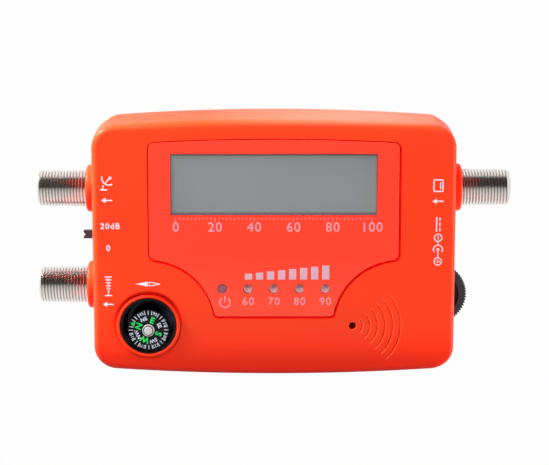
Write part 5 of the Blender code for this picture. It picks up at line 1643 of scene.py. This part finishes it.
class METER_OT_inside(bpy.types.Operator):
    """Finish the pieces inside the case"""

    bl_idname = "meter.inside"
    bl_label = "Inner pieces"

    def execute(self, context):
        steel = metal("inner_steel", (0.5, 0.5, 0.49), 0.36)
        tin = metal("tin_plate", (0.52, 0.51, 0.49), 0.34)
        brass = metal("inner_brass", (0.74, 0.56, 0.27), 0.32)
        nickel = metal("inner_nickel", (0.62, 0.6, 0.57), 0.28)
        white = plastic("inner_white", (0.8, 0.8, 0.77), 0.5)
        black = plastic("inner_black", (0.014, 0.014, 0.016), 0.4)
        epoxy = plastic("chip_epoxy", (0.02, 0.02, 0.022), 0.55, 0.01, 0.15)
        brown = plastic("phenolic", (0.28, 0.13, 0.05), 0.6, 0.01, 0.12)
        foam = plastic("foam_rubber", (0.04, 0.04, 0.04), 0.9, 0.05, 0.2)
        green = board("circuit_board")
        finishes = {
            steel: (*[f"board_screw_{number}" for number in (1, 2, 3, 4)],
                    "capacitor_1", "capacitor_2"),
            tin: ("display_frame", "card_magnet", "switch_body", "tuner_can"),
            brass: ("compass_pivot", "pot_rivet"),
            nickel: ("crystal",),
            white: ("display_backlight", "display_standoff_1", "display_standoff_2"),
            black: ("display_header", "lamp_spacer", "sounder"),
            epoxy: ("microcontroller", "voltage_regulator"),
            brown: ("pot_base",),
            foam: ("sound_gasket",),
            green: ("display_board", "main_board"),
        }
        for material, nodes in finishes.items():
            for node in nodes:
                dress(node, material)
        return {"FINISHED"}


# Studio

class METER_OT_stage(bpy.types.Operator):
    """Set the floor, the soft light and the camera"""

    bl_idname = "meter.stage"
    bl_label = "Studio"

    def floor(self):
        """Lay a wide white floor that keeps a faint shadow."""
        deselect()
        bpy.ops.mesh.primitive_plane_add(size=6.0)
        floor = bpy.context.active_object
        floor.name = "floor"
        floor.location.z = -0.05 * MM
        finish = Finish("floor_white", 0.9, specular=0.0)
        finish.set(Base_Color=(0.3, 0.3, 0.3, 1.0))
        highlight_side = finish.node("ShaderNodeEmission", inputs={"Color": (1.0, 1.0, 1.0, 1.0)})
        surface = Wire(finish, finish.shader.outputs[0])
        beside = finish.ramp(abs(finish.parts(finish.place)[0]), 46.0 * MM, 52.0 * MM)
        shown = finish.ray("Camera") * 0.975 + finish.ray("Glossy") * beside
        finish.mix_shaders(shown, surface, highlight_side)
        floor.data.materials.append(finish.material)

    def light(self, name, place, size, energy, glossy=False):
        """Hang a soft square light towards the object, and say if gloss mirrors it."""
        lamp = bpy.data.lights.new(name, "AREA")
        lamp.size = size
        lamp.energy = energy
        obj = added(name, lamp)
        obj.location = place
        obj.rotation_euler = (-Vector(place)).to_track_quat("-Z", "Y").to_euler()
        obj.visible_glossy = glossy

    def sky(self, scene):
        """Make the surroundings: white to the camera, banded in mirrors, and dim as fill."""
        world = bpy.data.worlds.new("studio")
        world.use_nodes = True
        scene.world = world
        sky = Nodes(world.node_tree)
        across, along, up = sky.parts(sky.node("ShaderNodeTexCoord"))
        tilt = sky.maths("ARCTAN2", along, up) * (0.5 / math.pi) + 0.5
        tones = ((-90, 1.0), (-60, 0.9), (-25, 0.75), (2, 0.45), (11, 0.06), (40, 0.04),
                 (74, 0.07), (84, 0.6), (92, 1.0))
        stops = [(0.5 + angle / 360, (tone, tone, tone, 1.0)) for angle, tone in tones]
        dome = sky.node("ShaderNodeValToRGB", {"stops": stops}, {0: tilt})
        mirrored = sky.blend(sky.ramp(abs(across), 0.6, 0.9), dome, (0.92, 0.92, 0.93))
        fill = sky.blend(sky.ramp(tilt, 0.25, 0.75), (0.06, 0.06, 0.06), (0.52, 0.52, 0.52))
        lit = sky.blend(sky.ray("Glossy"), fill, mirrored)
        colour = sky.blend(sky.ray("Camera"), lit, (1.0, 1.0, 1.0))
        sky.feed(sky.tree.nodes["Background"].inputs["Color"], colour)

    def camera(self, scene):
        """Stand the camera 480 mm off, 10 degrees towards the top side."""
        data = bpy.data.cameras.new("camera")
        data.sensor_width = 36.0
        data.sensor_fit = "HORIZONTAL"
        data.lens = 119.92
        data.clip_start = 0.01
        data.clip_end = 20.0
        camera = added("camera", data)
        camera.location = (0.158 * MM, 85.3 * MM, 486.2 * MM)
        camera.rotation_euler = (math.radians(-10.0), 0.0, 0.0)
        scene.camera = camera

    def execute(self, context):
        scene = context.scene
        scene.view_settings.view_transform = "Standard"
        self.floor()
        self.sky(scene)
        self.light("key", (-0.2, 0.3, 0.33), 0.25, 2.0)
        self.light("rim", (-0.25, 0.28, 0.05), 0.09, 4.4)
        self.light("glint", (-0.55, 0.5, 0.06), 0.11, 9.0, glossy=True)
        self.light("left", (-0.6, -0.1, 0.05), 0.3, 3.0)
        self.light("right", (0.6, -0.1, 0.07), 0.4, 8.5)
        self.camera(scene)
        return {"FINISHED"}


STEPS = (
    METER_OT_case, METER_OT_panel, METER_OT_display, METER_OT_lamps, METER_OT_ports,
    METER_OT_compass, METER_OT_controls, METER_OT_screws, METER_OT_print, METER_OT_inside,
    METER_OT_stage,
)


class METER_PT_sidebar(bpy.types.Panel):
    """List the steps that build the meter"""

    bl_idname = "METER_PT_sidebar"
    bl_label = "Satellite signal meter"
    bl_space_type = "VIEW_3D"
    bl_region_type = "UI"
    bl_category = "Meter"

    def draw(self, context):
        for step in STEPS:
            self.layout.operator(step.bl_idname)


GROUPS = (
    (MeterCaseSizes, "meter_case"),
    (MeterPartSizes, "meter_parts"),
    (MeterColours, "meter_colours"),
)


def register():
    """Register the sizes, the colours, the steps and the panel."""
    for group, name in GROUPS:
        bpy.utils.register_class(group)
        setattr(bpy.types.Scene, name, bpy.props.PointerProperty(type=group))
    for step in (*STEPS, METER_PT_sidebar):
        bpy.utils.register_class(step)


def unregister():
    """Remove the panel, the steps, the colours and the sizes."""
    for step in (METER_PT_sidebar, *STEPS):
        bpy.utils.unregister_class(step)
    for group, name in GROUPS:
        delattr(bpy.types.Scene, name)
        bpy.utils.unregister_class(group)


def main():
    """Build the meter step by step."""
    register()
    bpy.ops.meter.case()
    bpy.ops.meter.panel()
    bpy.ops.meter.display()
    bpy.ops.meter.lamps()
    bpy.ops.meter.ports()
    bpy.ops.meter.compass()
    bpy.ops.meter.controls()
    bpy.ops.meter.screws()
    bpy.ops.meter.print()
    bpy.ops.meter.inside()
    bpy.ops.meter.stage()


if __name__ == "__main__":
    main()
